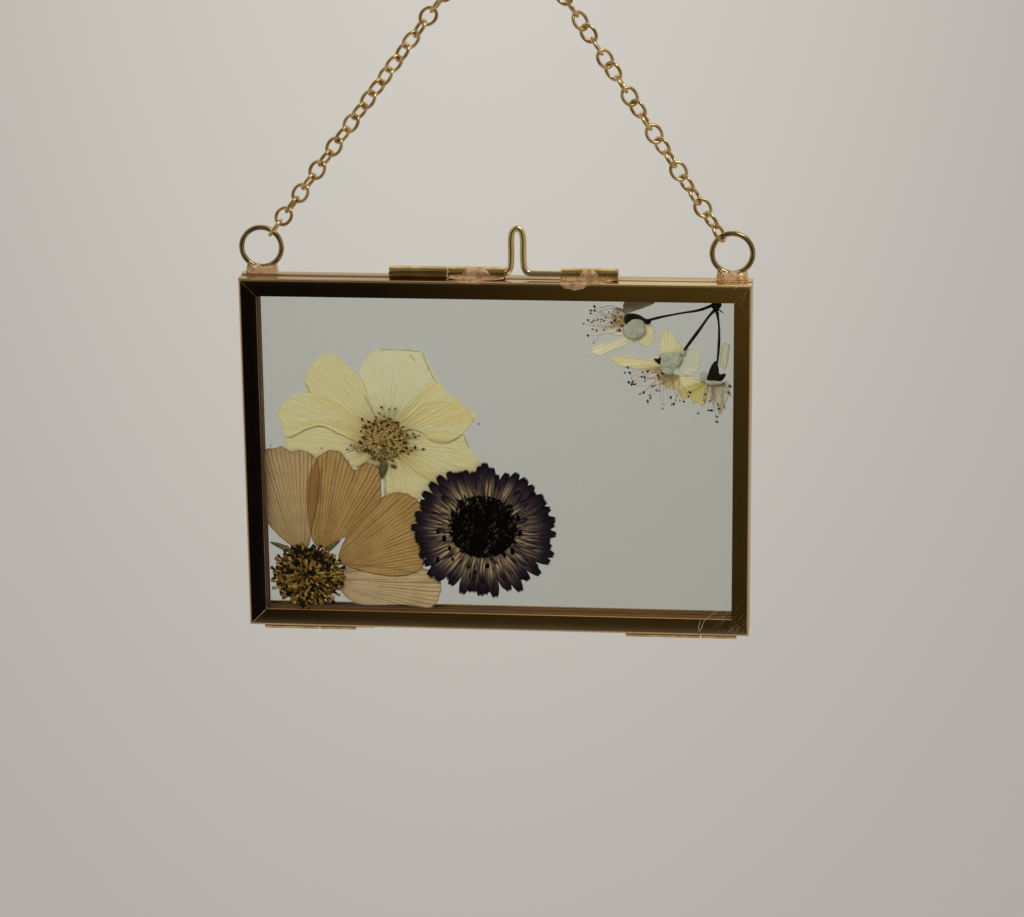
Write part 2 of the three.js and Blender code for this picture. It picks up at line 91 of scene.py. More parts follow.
def add_camera():
    right = Vector((0.9949, 0.0998, -0.0109))
    up = Vector((-0.0194, 0.2978, 0.9544))
    back = Vector((0.0985, -0.9494, 0.2982))
    data = bpy.data.cameras.new("camera")
    data.lens = 123.05
    data.sensor_width = 36
    data.clip_start = 0.01
    camera = bpy.data.objects.new("camera", data)
    turn = Matrix((right, up, back)).transposed().to_quaternion()
    camera.matrix_world = Matrix.Translation((0.07193, -0.69453, 0.10119)) @ turn.to_matrix().to_4x4()
    bpy.context.scene.collection.objects.link(camera)
    bpy.context.scene.camera = camera


# --- node helpers


def put(tree, kind, wires=None, **settings):
    """Adds a node. wires gives each input, by name or number, a value or a socket to link from."""
    node = tree.nodes.new(kind)
    for key, value in settings.items():
        setattr(node, key, value)
    for key, value in (wires or {}).items():
        if isinstance(value, bpy.types.NodeSocket):
            tree.links.new(value, node.inputs[key])
        else:
            node.inputs[key].default_value = value
    return node


def maths(tree, operation, a, b=0.0, clamp=False):
    return put(tree, "ShaderNodeMath", {0: a, 1: b}, operation=operation, use_clamp=clamp).outputs[0]


def times(tree, a, b, clamp=False):
    return maths(tree, "MULTIPLY", a, b, clamp)


def plus(tree, a, b, clamp=False):
    return maths(tree, "ADD", a, b, clamp)


def ramp(tree, value, low, high, to_low=0.0, to_high=1.0):
    wires = {"Value": value, "From Min": low, "From Max": high, "To Min": to_low, "To Max": to_high}
    return put(tree, "ShaderNodeMapRange", wires, interpolation_type="SMOOTHSTEP").outputs[0]


def blend(tree, share, a, b, mode="MIX"):
    wires = {0: share, 6: a, 7: b}
    return put(tree, "ShaderNodeMix", wires, data_type="RGBA", blend_type=mode).outputs[2]


def noisy(tree, vector, scale, detail=3.0, roughness=0.55, distortion=0.0):
    wires = {"Vector": vector, "Scale": scale, "Detail": detail, "Roughness": roughness,
        "Distortion": distortion}
    return put(tree, "ShaderNodeTexNoise", wires).outputs["Fac"]


def attribute(tree, name):
    return put(tree, "ShaderNodeAttribute", attribute_name=name).outputs["Fac"]


def object_place(tree, scale=(1, 1, 1), at=(0, 0, 0)):
    """Object coordinates in millimetres, centred on a point and stretched."""
    place = put(tree, "ShaderNodeTexCoord").outputs["Object"]
    moved = put(tree, "ShaderNodeVectorMath", {0: place, 1: [a * MM for a in at]},
        operation="SUBTRACT").outputs[0]
    return put(tree, "ShaderNodeMapping", {"Vector": moved, "Scale": [s / MM for s in scale]}).outputs[0]


def bump(tree, height, distance, strength=1.0, normal=None):
    wires = {"Height": height, "Distance": distance * MM, "Strength": strength}
    if normal is not None:
        wires["Normal"] = normal
    return put(tree, "ShaderNodeBump", wires).outputs[0]


def new_material(name, viewport, **values):
    """A Principled material. Each value goes on the shader's own socket."""
    mat = bpy.data.materials.new(name)
    mat.use_nodes = True
    mat.diffuse_color = (*viewport, 1)
    tree = mat.node_tree
    shader = tree.nodes["Principled BSDF"]
    shader.inputs["Base Color"].default_value = (*viewport, 1)
    for key, value in values.items():
        shader.inputs[key.replace("_", " ")].default_value = value
    return mat, tree, shader


# --- metals and glass


def brass_channel():
    """Polished brass sheet: mirror bright on its faces, with painted shade along the seam between the halves,
    painted light and shade on its top face and in its dull grooves, and scratched corners."""
    mat, tree, shader = new_material("polished_brass", (0.80, 0.55, 0.30), Metallic=1.0)
    broad = noisy(tree, object_place(tree, (0.05, 0.05, 0.05)), 1.0, 2.0)
    along_x = noisy(tree, object_place(tree, (0.12, 3.0, 6.0)), 1.0, 4.0, 0.7)
    turned = put(tree, "ShaderNodeMapping",
        {"Vector": object_place(tree), "Rotation": (0, math.radians(52), 0)}).outputs[0]
    slanted = put(tree, "ShaderNodeMapping", {"Vector": turned, "Scale": (0.3, 1.0, 5.0)}).outputs[0]
    scratches = noisy(tree, slanted, 1.0, 3.0, 0.75)
    scratch_lines = ramp(tree, scratches, 0.56, 0.64)
    split = put(tree, "ShaderNodeSeparateXYZ", {0: object_place(tree, at=FRAME_AT)})
    x, y, z = split.outputs
    corner = times(tree, ramp(tree, maths(tree, "ABSOLUTE", x), 42.0, 51.0),
        ramp(tree, maths(tree, "ABSOLUTE", z), 27.0, 36.0))
    right = ramp(tree, x, -30.0, 40.0, 0.25, 1.0)
    marks = times(tree, scratch_lines, times(tree, corner, right))
    tarnish = ramp(tree, broad, 0.35, 0.7)
    colour = blend(tree, tarnish, (0.90, 0.65, 0.40, 1), (0.80, 0.56, 0.31, 1))
    # Painted shade: dark brown along the seam between the halves, weaker towards the right.
    from_seam = maths(tree, "ABSOLUTE", maths(tree, "SUBTRACT", y, SEAM_Y))
    edge = maths(tree, "MULTIPLY_ADD", along_x, 0.7)
    tree.links.new(from_seam, edge.node.inputs[2])
    seam = times(tree, ramp(tree, edge, 1.3, 1.75, 1.0, 0.0), ramp(tree, x, 15.0, 42.0, 1.0, 0.4))
    colour = blend(tree, seam, colour, (0.27, 0.14, 0.04, 1))
    # Painted light and shade on the top face: dark brown at the left, bright gold at the right.
    upper = ramp(tree, z, TOP - 0.3, TOP - 0.1, 0.0, 0.85)
    top_painted_light = blend(tree, ramp(tree, x, -25.0, 40.0), (0.40, 0.25, 0.13, 1), (0.90, 0.70, 0.36, 1))
    colour = blend(tree, upper, colour, top_painted_light)
    behind = ramp(tree, y, -1.0, -0.5, 0.0, 0.75)
    colour = blend(tree, behind, colour, (0.55, 0.37, 0.16, 1))
    groove = attribute(tree, "groove")
    # The grooves' colours are painted light and shade: orange towards the front that darkens to the left, a
    # painted dark band further back, dark brown at the back and a painted pale patch at the far left end.
    groove_painted_light = blend(tree, ramp(tree, x, -30.0, 15.0), (0.42, 0.20, 0.05, 1), (0.66, 0.36, 0.08, 1))
    inner = blend(tree, ramp(tree, y, -2.75, -2.35), groove_painted_light, (0.12, 0.04, 0.018, 1))
    inner = blend(tree, ramp(tree, y, -0.7, -0.3), inner, (0.36, 0.19, 0.055, 1))
    far_left_painted_light = times(tree, ramp(tree, x, -50.0, -49.0, 1.0, 0.0), ramp(tree, y, -0.4, 0.2))
    inner = blend(tree, far_left_painted_light, inner, (0.62, 0.58, 0.5, 1))
    colour = blend(tree, groove, colour, inner)
    colour = blend(tree, times(tree, marks, 0.8), colour, (0.98, 0.76, 0.52, 1))
    tree.links.new(colour, shader.inputs["Base Color"])
    tree.links.new(ramp(tree, groove, 0.0, 1.0, 1.0, 0.35), shader.inputs["Metallic"])
    rough = plus(tree, ramp(tree, along_x, 0.3, 0.8, 0.09, 0.14), times(tree, marks, 0.3))
    rough = plus(tree, rough, times(tree, maths(tree, "MAXIMUM", groove, seam), 0.3))
    tree.links.new(rough, shader.inputs["Roughness"])
    tree.links.new(bump(tree, marks, 0.004, 0.5), shader.inputs["Normal"])
    return mat


def brass_fitting(name, colour, worn, rough, dents=0.01, metal=1.0, solder_from=None):
    """Drawn brass tube or wire. With solder_from, it turns to coppery solder below that height."""
    mat, tree, shader = new_material(name, colour, Metallic=metal)
    patches = noisy(tree, object_place(tree), 0.35, 1.0, 0.5)
    shade = blend(tree, ramp(tree, patches, 0.38, 0.62), (*colour, 1), (*worn, 1))
    roughness = ramp(tree, patches, 0.3, 0.7, rough, rough + 0.04)
    height = put(tree, "ShaderNodeSeparateXYZ", {0: object_place(tree, at=FRAME_AT)}).outputs[2]
    if solder_from is not None:
        lumps = noisy(tree, object_place(tree), 0.9, 2.0)
        edge = plus(tree, height, times(tree, lumps, -1.6))
        solder = ramp(tree, edge, solder_from - 0.8, solder_from + 0.4, 1.0, 0.0)
        copper = blend(tree, ramp(tree, lumps, 0.35, 0.6), (0.60, 0.35, 0.16, 1), (0.86, 0.60, 0.36, 1))
        shade = blend(tree, solder, shade, copper)
        roughness = plus(tree, roughness, times(tree, solder, 0.12))
        tree.links.new(ramp(tree, solder, 0.0, 1.0, metal, 0.5), shader.inputs["Metallic"])
    tree.links.new(shade, shader.inputs["Base Color"])
    tree.links.new(roughness, shader.inputs["Roughness"])
    relief = times(tree, patches, dents)
    if solder_from is not None:
        relief = plus(tree, relief, times(tree, times(tree, lumps, solder), 0.5))
    tree.links.new(bump(tree, relief, 1.0, 0.7), shader.inputs["Normal"])
    return mat


def solder_metal(name="solder", thin=(0.44, 0.26, 0.12), full=(0.72, 0.49, 0.29)):
    """Coppery soft solder, smooth and half bright."""
    mat, tree, shader = new_material(name, full, Metallic=0.65)
    lumps = noisy(tree, object_place(tree), 0.8, 3.0, 0.5)
    shade = blend(tree, ramp(tree, lumps, 0.38, 0.62), (*thin, 1), (*full, 1))
    tree.links.new(shade, shader.inputs["Base Color"])
    tree.links.new(ramp(tree, lumps, 0.3, 0.7, 0.3, 0.45), shader.inputs["Roughness"])
    tree.links.new(bump(tree, lumps, 0.08, 0.5), shader.inputs["Normal"])
    return mat


def pane_glass():
    mat, tree, shader = new_material("clear_glass", (0.886, 0.906, 0.891), Transmission_Weight=1.0, IOR=1.5)
    smears = noisy(tree, object_place(tree, (0.05, 0.05, 0.09)), 1.0, 3.0)
    tree.links.new(ramp(tree, smears, 0.45, 0.75, 0.0, 0.012), shader.inputs["Roughness"])
    return mat


# --- dry plant finishes


def vein_lines(tree, angle, wander, count, width, picked, least=0.0):
    """Lines that fan out from the root, each of its own strength. picked is the share that shows at all."""
    turned = maths(tree, "MULTIPLY_ADD", angle, count)
    tree.links.new(wander, turned.node.inputs[2])
    saw = maths(tree, "FRACT", turned)
    line = maths(tree, "ABSOLUTE", maths(tree, "SUBTRACT", saw, 0.5))
    line = ramp(tree, line, 0.0, width, 1.0, 0.0)
    chance = put(tree, "ShaderNodeTexWhiteNoise", {"W": maths(tree, "FLOOR", turned)},
        noise_dimensions="1D").outputs["Value"]
    return times(tree, line, ramp(tree, chance, 1.0 - picked, 1.0, least, 1.0))


def petal_finish(name, pale, deep, vein, throat, painted_lap_shade, veins, rough=0.7):
    """A pressed petal. The map's u is the angle of the fan of veins and v the distance from its root.

    The attributes edge, crease, ridge and lap hold what the mesh knows: how near the rim is, fold lines
    that get painted shade and painted highlight, and where another petal lies behind, which gets painted
    shade."""
    mat, tree, shader = new_material(name, pale, Roughness=rough)
    shader.inputs["Specular IOR Level"].default_value = 0.25
    fan = put(tree, "ShaderNodeSeparateXYZ", {0: put(tree, "ShaderNodeUVMap", uv_map="fan").outputs[0]})
    angle, reach = fan.outputs[0], fan.outputs[1]
    place = object_place(tree)
    wander = times(tree, noisy(tree, place, 0.22, 2.0), veins["wander"])
    fine = vein_lines(tree, angle, wander, veins["count"], 0.27, 1.0, 0.45)
    bold = vein_lines(tree, angle, wander, veins["bold_count"], veins["bold_width"], veins["bold_share"])
    stretched = put(tree, "ShaderNodeCombineXYZ",
        {0: times(tree, angle, veins["count"] * 1.3), 1: times(tree, reach, 0.12)}).outputs[0]
    fibres = noisy(tree, stretched, 1.0, 3.0, 0.6)
    line = maths(tree, "MAXIMUM", times(tree, fine, veins["fine"]), times(tree, bold, veins["bold"]))
    line = times(tree, line, ramp(tree, fibres, 0.3, 0.65, 0.5, 1.0))
    line = times(tree, line,
        ramp(tree, reach, veins["near"], veins["far"], veins["at_near"], veins["at_far"]))
    blotch = ramp(tree, noisy(tree, place, 0.28, 4.0, 0.6), 0.32, 0.72)
    mottle = plus(tree, times(tree, blotch, 0.5), times(tree, fibres, 0.5))
    colour = blend(tree, mottle, (*pale, 1), (*deep, 1))
    near_root = ramp(tree, reach, veins["throat"], veins["throat_end"], 1.0, 0.0)
    root_streaks = times(tree, near_root, ramp(tree, fibres, 0.3, 0.7, 0.25, 1.0))
    colour = blend(tree, root_streaks, colour, (*throat, 1))
    # Painted shade where another petal lies behind.
    lap = attribute(tree, "lap")
    colour = blend(tree, lap, colour, blend(tree, 1.0, colour, (*painted_lap_shade, 1), "MULTIPLY"))
    colour = blend(tree, line, colour, (*vein, 1))
    # Painted highlight along ridges, painted shade along creases.
    colour = blend(tree, times(tree, attribute(tree, "ridge_highlight"), veins["ridge_highlight"]), colour,
        (0.95, 0.92, 0.72, 1))
    colour = blend(tree, times(tree, attribute(tree, "edge"), veins["edge"]), colour, (*vein, 1))
    colour = blend(tree, times(tree, attribute(tree, "crease_shade"), 0.6), colour, (0.16, 0.105, 0.035, 1))
    tree.links.new(colour, shader.inputs["Base Color"])
    crinkle = noisy(tree, place, 0.8, 3.0, 0.6)
    relief = plus(tree, times(tree, line, -0.6), fibres)
    relief = plus(tree, relief, times(tree, crinkle, 1.1))
    tree.links.new(bump(tree, relief, veins["relief"], 0.8), shader.inputs["Normal"])
    return mat


def grain_finish(name, dark, mid, light, scale, rough=0.75, gloss=0.12):
    """Small dry parts, each of its own shade: the attribute tone says which."""
    mat, tree, shader = new_material(name, mid, Roughness=rough)
    shader.inputs["Specular IOR Level"].default_value = gloss
    tone = attribute(tree, "tone")
    speckle = noisy(tree, object_place(tree), scale, 3.0)
    mixed = plus(tree, tone, ramp(tree, speckle, 0.2, 0.8, -0.25, 0.25))
    low = blend(tree, ramp(tree, mixed, 0.1, 0.5), (*dark, 1), (*mid, 1))
    colour = blend(tree, ramp(tree, mixed, 0.5, 0.95), low, (*light, 1))
    tree.links.new(colour, shader.inputs["Base Color"])
    tree.links.new(bump(tree, speckle, 0.05, 0.5), shader.inputs["Normal"])
    return mat


def floret_finish(name, root, streak, blade, tip):
    """A strap-shaped floret: the attributes along and across run over the blade. Its edges get painted shade.
    """
    mat, tree, shader = new_material(name, blade, Roughness=0.62)
    shader.inputs["Specular IOR Level"].default_value = 0.03
    along, across, tone = attribute(tree, "along"), attribute(tree, "across"), attribute(tree, "tone")
    strands = put(tree, "ShaderNodeCombineXYZ", {0: times(tree, across, 5.0), 1: times(tree, along, 1.3),
        2: times(tree, tone, 37.0)}).outputs[0]
    fibres = noisy(tree, strands, 1.0, 3.0, 0.6)
    colour = blend(tree, ramp(tree, along, 0.62, 1.0), (*blade, 1), (*tip, 1))
    pale = times(tree, ramp(tree, along, 0.25, 0.8, 1.0, 0.0), ramp(tree, fibres, 0.42, 0.62))
    pale = times(tree, pale, ramp(tree, tone, -0.4, 0.6, 0.0, 1.0))
    colour = blend(tree, pale, colour, (*streak, 1))
    # Painted shade along each floret's edges, where it meets the next.
    rim = ramp(tree, maths(tree, "ABSOLUTE", across), 0.6, 1.0, 0.0, 0.7)
    colour = blend(tree, rim, colour, (*tip, 1))
    colour = blend(tree, ramp(tree, along, 0.0, 0.18, 1.0, 0.0), colour, (*root, 1))
    tree.links.new(colour, shader.inputs["Base Color"])
    tree.links.new(bump(tree, fibres, 0.08, 0.7), shader.inputs["Normal"])
    return mat


def stem_finish():
    """Dry stalk, black-brown and lightly ridged."""
    mat, tree, shader = new_material("dry_stem", (0.022, 0.018, 0.012), Roughness=0.62)
    shader.inputs["Specular IOR Level"].default_value = 0.1
    ridges = noisy(tree, object_place(tree, (3.0, 3.0, 0.6)), 1.0, 4.0)
    colour = blend(tree, ramp(tree, ridges, 0.4, 0.75), (0.008, 0.006, 0.005, 1), (0.032, 0.025, 0.016, 1))
    tree.links.new(colour, shader.inputs["Base Color"])
    tree.links.new(bump(tree, ridges, 0.06, 0.6), shader.inputs["Normal"])
    return mat


def dust_finish():
    mat, tree, shader = new_material("dust", (0.8, 0.79, 0.74), Roughness=0.9)
    tone = noisy(tree, object_place(tree), 2.0, 2.0)
    tree.links.new(blend(tree, tone, (0.6, 0.58, 0.52, 1), (0.95, 0.94, 0.9, 1)),
        shader.inputs["Base Color"])
    return mat


# --- mesh helpers


def new_piece(name, vertices, faces, *finishes, edges=()):
    mesh = bpy.data.meshes.new(name)
    mesh.from_pydata([tuple(v) for v in vertices], [tuple(e) for e in edges], [tuple(f) for f in faces])
    for finish in finishes:
        mesh.materials.append(finish)
    mesh.update()
    obj = bpy.data.objects.new(name, mesh)
    bpy.context.scene.collection.objects.link(obj)
    return obj


def settle(obj):
    """Turns an object's modifiers into a plain mesh."""
    graph = bpy.context.evaluated_depsgraph_get()
    mesh = bpy.data.meshes.new_from_object(obj.evaluated_get(graph), preserve_all_data_layers=True,
        depsgraph=graph)
    obj.modifiers.clear()
    obj.data = mesh
    return obj


def smooth_shade(obj):
    obj.data.shade_smooth()
    return obj


RIM_WIDTH = 0.16  # how wide the darker rim of a petal is
GOLDEN_TURN = math.pi * (3 - math.sqrt(5))  # spreads florets evenly over a disc
UPRIGHT = Matrix.Rotation(math.pi / 2, 4, "X")


def press(obj):
    """Flattens what would reach the front pane, gently enough that the order of the layers stays."""
    places = np.empty(len(obj.data.vertices) * 3, np.float32)
    obj.data.vertices.foreach_get("co", places)
    places = places.reshape(-1, 3)
    past = np.maximum(PRESSED_FROM * MM - places[:, 1], 0)
    room = PRESSED_ROOM * MM
    places[:, 1] += past - room * (1 - np.exp(-past / room))
    obj.data.vertices.foreach_set("co", places.ravel())
    obj.data.update()
    return obj


def stand(obj, depth=0.0):
    """Places a piece drawn flat, with x to the right, y up the pane and z towards the viewer."""
    at = Matrix.Translation(FLOWERS_AT + Vector((0, depth, 0)))
    obj.data.transform(Matrix.Scale(MM, 4) @ at @ UPRIGHT)
    return press(obj)


def thicken(obj, thickness, depth):
    """Gives a flat sheet its thickness and stands it in its place."""
    solid = obj.modifiers.new("thickness", "SOLIDIFY")
    solid.thickness = thickness
    solid.offset = 0
    settle(obj)
    return stand(smooth_shade(obj), depth)


def place(obj, at=FRAME_AT):
    """Places a piece drawn as it stands, with y to the back and z up."""
    obj.data.transform(Matrix.Scale(MM, 4) @ Matrix.Translation(at))
    return obj


def give(obj, body, slot, *nodes):
    """Attaches the finished piece to the body that it rides on and hides the CAD nodes that it stands for.
    slot is not used.
    """
    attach(obj, body)
    if nodes:
        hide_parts(*nodes)
    return obj


def write_attribute(obj, name, values):
    layer = obj.data.attributes.new(name, "FLOAT", "POINT")
    layer.data.foreach_set("value", np.asarray(values, np.float32))


def smooth_path(points, per_span=8, closed=False):
    """A smooth line through the points, as centripetal Catmull-Rom spans."""
    p = np.asarray(points, float)
    if closed:
        p = np.vstack([p[-1], p, p[0], p[1]])
    else:
        p = np.vstack([2 * p[0] - p[1], p, 2 * p[-1] - p[-2]])
    out = []
    for a, b, c, d in zip(p, p[1:], p[2:], p[3:]):
        t0 = 0.0
        t1 = t0 + math.sqrt(np.linalg.norm(b - a)) + 1e-9
        t2 = t1 + math.sqrt(np.linalg.norm(c - b)) + 1e-9
        t3 = t2 + math.sqrt(np.linalg.norm(d - c)) + 1e-9
        for t in np.linspace(t1, t2, per_span, endpoint=False):
            ab = (t1 - t) / (t1 - t0) * a + (t - t0) / (t1 - t0) * b
            bc = (t2 - t) / (t2 - t1) * b + (t - t1) / (t2 - t1) * c
            cd = (t3 - t) / (t3 - t2) * c + (t - t2) / (t3 - t2) * d
            abc = (t2 - t) / (t2 - t0) * ab + (t - t0) / (t2 - t0) * bc
            bcd = (t3 - t) / (t3 - t1) * bc + (t - t1) / (t3 - t1) * cd
            out.append((t2 - t) / (t2 - t1) * abc + (t - t1) / (t2 - t1) * bcd)
    if not closed:
        out.append(p[-2])
    return np.array(out)


def evenly(points, step, closed=True):
    """The same line with points at even steps."""
    p = np.asarray(points, float)
    if closed:
        p = np.vstack([p, p[0]])
    length = np.concatenate([[0], np.cumsum(np.linalg.norm(np.diff(p, axis=0), axis=1))])
    count = max(3, int(length[-1] / step))
    at = np.linspace(0, length[-1], count, endpoint=not closed)
    return np.column_stack([np.interp(at, length, p[:, k]) for k in range(p.shape[1])])


def inside(points, outline):
    x, y = points[:, 0][:, None], points[:, 1][:, None]
    x0, y0 = outline[:, 0], outline[:, 1]
    x1, y1 = np.roll(x0, -1), np.roll(y0, -1)
    spans = (y0 > y) != (y1 > y)
    rise = np.where(y1 == y0, 1e-9, y1 - y0)
    return (np.sum(spans & (x < (x1 - x0) * (y - y0) / rise + x0), axis=1) % 2) == 1


def distance_to(points, line, closed=True):
    a = np.asarray(line, float)
    b = np.roll(a, -1, axis=0) if closed else a[1:]
    a = a if closed else a[:-1]
    d = b - a
    t = np.clip(((points[:, None, :] - a) * d).sum(2) / np.maximum((d * d).sum(1), 1e-12), 0, 1)
    return np.linalg.norm(points[:, None, :] - (a + t[..., None] * d), axis=2).min(1)


def outline_of(node):
    """The edge of a flat CAD plate, in order, as [x, z] in millimetres from the flowers' middle."""
    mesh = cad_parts[node].data
    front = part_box(node)[0].y
    following = {}
    for polygon in mesh.polygons:
        corners = [mesh.vertices[i].co for i in polygon.vertices]
        if all(abs(c.y - front) < 1e-5 for c in corners):
            keys = [(round(c.x / MM, 3), round(c.z / MM, 3)) for c in corners]
            for a, b in zip(keys, keys[1:] + keys[:1]):
                following.setdefault(a, set()).add(b)
    rim = {a: b for a, all_b in following.items() for b in all_b if a not in following.get(b, ())}
    walk = [next(iter(rim))]
    while len(walk) < len(rim):
        walk.append(rim[walk[-1]])
    return np.array(walk) - (FLOWERS_AT.x, FLOWERS_AT.z)


# --- geometry node trees


def node_group(name, sockets):
    """A geometry tree with named inputs. Returns the tree, its incoming sockets and the output node."""
    tree = bpy.data.node_groups.new(name, "GeometryNodeTree")
    tree.interface.new_socket("Geometry", in_out="INPUT", socket_type="NodeSocketGeometry")
    tree.interface.new_socket("Geometry", in_out="OUTPUT", socket_type="NodeSocketGeometry")
    for label, kind in sockets.items():
        tree.interface.new_socket(label, in_out="INPUT", socket_type="NodeSocket" + kind)
    inputs = tree.nodes.new("NodeGroupInput").outputs
    return tree, inputs, tree.nodes.new("NodeGroupOutput")


def grow(obj, tree, values):
    """Runs a geometry tree on a mesh and keeps the result as a plain mesh."""
    modifier = obj.modifiers.new(tree.name, "NODES")
    modifier.node_group = tree
    for item in tree.interface.items_tree:
        if item.in_out == "INPUT" and item.name in values:
            modifier[item.identifier] = values[item.name]
    return settle(obj)


def named(tree, name):
    return put(tree, "GeometryNodeInputNamedAttribute", {"Name": name}, data_type="FLOAT").outputs[0]


def random_value(tree, low, high, seed, offset=0):
    seed = plus(tree, seed, float(offset))
    wires = {2: low, 3: high, "Seed": seed}
    return put(tree, "FunctionNodeRandomValue", wires, data_type="FLOAT").outputs[1]


def finish_tree(tree, geometry_socket, finish, output):
    """Realizes, smooths and sets the finish, as every tree ends."""
    real = put(tree, "GeometryNodeRealizeInstances", {0: geometry_socket}).outputs[0]
    shaded = put(tree, "GeometryNodeSetShadeSmooth", {0: real}).outputs[0]
    done = put(tree, "GeometryNodeSetMaterial", {"Geometry": shaded, "Material": finish}).outputs[0]
    tree.links.new(done, output.inputs[0])


def wire_tree():
    """Sweeps a round wire along every edge path. The attribute thick scales it from place to place."""
    tree, inputs, output = node_group("round_wire",
        {"Radius": "Float", "Sides": "Int", "Finish": "Material"})
    curve = put(tree, "GeometryNodeMeshToCurve", {0: inputs["Geometry"]}).outputs[0]
    radius = times(tree, named(tree, "thick"), inputs["Radius"])
    ring = put(tree, "GeometryNodeCurvePrimitiveCircle",
        {"Resolution": inputs["Sides"], "Radius": 1.0}).outputs[0]
    swept = put(tree, "GeometryNodeCurveToMesh",
        {"Curve": curve, "Profile Curve": ring, "Scale": radius, "Fill Caps": True})
    finish_tree(tree, swept.outputs[0], inputs["Finish"], output)
    return tree


def link_tree():
    """Strings links along a path of two points, each turned about the path by its place in the row."""
    sizes = {"Links": "Int", "Wire": "Float", "Half Width": "Float", "Half Length": "Float",
        "Last Turn": "Float", "Turn": "Float", "Twist": "Float", "Twist From": "Float", "Wobble": "Float",
        "Seed": "Int", "Finish": "Material"}
    tree, inputs, output = node_group("chain_links", sizes)
    circle = put(tree, "GeometryNodeCurvePrimitiveCircle", {"Resolution": 36, "Radius": 1.0}).outputs[0]
    shape = put(tree, "ShaderNodeCombineXYZ",
        {0: inputs["Half Width"], 1: inputs["Half Length"], 2: 1.0}).outputs[0]
    oval = put(tree, "GeometryNodeTransform", {"Geometry": circle, "Scale": shape}).outputs[0]
    section = put(tree, "GeometryNodeCurvePrimitiveCircle",
        {"Resolution": 12, "Radius": inputs["Wire"]}).outputs[0]
    link = put(tree, "GeometryNodeCurveToMesh", {"Curve": oval, "Profile Curve": section}).outputs[0]
    path = put(tree, "GeometryNodeMeshToCurve", {0: inputs["Geometry"]}).outputs[0]
    steps = put(tree, "GeometryNodeResampleCurve", {"Curve": path, "Count": inputs["Links"]}).outputs[0]
    tangent = put(tree, "GeometryNodeInputTangent").outputs[0]
    facing = put(tree, "FunctionNodeAxesToRotation", {0: tangent, 1: (0.0, -1.0, 0.0)}, primary_axis="Y",
        secondary_axis="Z").outputs[0]
    index = put(tree, "GeometryNodeInputIndex").outputs[0]
    up = maths(tree, "SUBTRACT", maths(tree, "SUBTRACT", inputs["Links"], 1.0), index)
    twisted = maths(tree, "MAXIMUM", maths(tree, "SUBTRACT", up, inputs["Twist From"]), 0.0)
    wobble = times(tree, random_value(tree, -1.0, 1.0, inputs["Seed"]), inputs["Wobble"])
    turn = plus(tree, plus(tree, inputs["Last Turn"], wobble),
        plus(tree, times(tree, up, inputs["Turn"]), times(tree, twisted, inputs["Twist"])))
    roll = put(tree, "FunctionNodeAxisAngleToRotation", {"Axis": (0.0, 1.0, 0.0), "Angle": turn}).outputs[0]
    turned = put(tree, "FunctionNodeRotateRotation", {0: facing, 1: roll},
        rotation_space="LOCAL").outputs[0]
    wires = {"Points": steps, "Instance": link, "Rotation": turned}
    strung = put(tree, "GeometryNodeInstanceOnPoints", wires).outputs[0]
    finish_tree(tree, strung, inputs["Finish"], output)
    return tree


def stamen_tree():
    """Hair-thin filaments along every edge path, with an anther wherever the attribute tip is set."""
    sizes = {"Filament": "Float", "Filament Tone": "Float", "Anther": "Float", "Seed": "Int",
        "Finish": "Material"}
    tree, inputs, output = node_group("stamens", sizes)
    curve = put(tree, "GeometryNodeMeshToCurve", {0: inputs["Geometry"]}).outputs[0]
    radius = times(tree, named(tree, "thick"), inputs["Filament"])
    ring = put(tree, "GeometryNodeCurvePrimitiveCircle", {"Resolution": 5, "Radius": 1.0}).outputs[0]
    hairs = put(tree, "GeometryNodeCurveToMesh",
        {"Curve": curve, "Profile Curve": ring, "Scale": radius, "Fill Caps": True}).outputs[0]
    hairs = put(tree, "GeometryNodeStoreNamedAttribute",
        {"Geometry": hairs, "Name": "tone", "Value": inputs["Filament Tone"]}, data_type="FLOAT",
        domain="POINT").outputs[0]
    tips = put(tree, "GeometryNodeMeshToPoints",
        {"Mesh": inputs["Geometry"], "Selection": named(tree, "tip")}).outputs[0]
    ball = put(tree, "GeometryNodeMeshUVSphere", {"Segments": 8, "Rings": 6, "Radius": 1.0}).outputs[0]
    bean = put(tree, "GeometryNodeTransform", {"Geometry": ball, "Scale": (0.62, 1.0, 0.5)}).outputs[0]
    size = times(tree, inputs["Anther"], random_value(tree, 0.7, 1.35, inputs["Seed"]))
    spin = put(tree, "ShaderNodeCombineXYZ",
        {2: random_value(tree, 0.0, math.tau, inputs["Seed"], 1)}).outputs[0]
    wires = {"Points": tips, "Instance": bean, "Scale": size, "Rotation": spin}
    anthers = put(tree, "GeometryNodeInstanceOnPoints", wires).outputs[0]
    toned = put(tree, "GeometryNodeStoreNamedAttribute", {"Geometry": anthers, "Name": "tone",
        "Value": random_value(tree, -0.1, 0.4, inputs["Seed"], 2)}, data_type="FLOAT", domain="INSTANCE")
    both = put(tree, "GeometryNodeJoinGeometry")
    tree.links.new(hairs, both.inputs[0])
    tree.links.new(toned.outputs[0], both.inputs[0])
    finish_tree(tree, both.outputs[0], inputs["Finish"], output)
    return tree


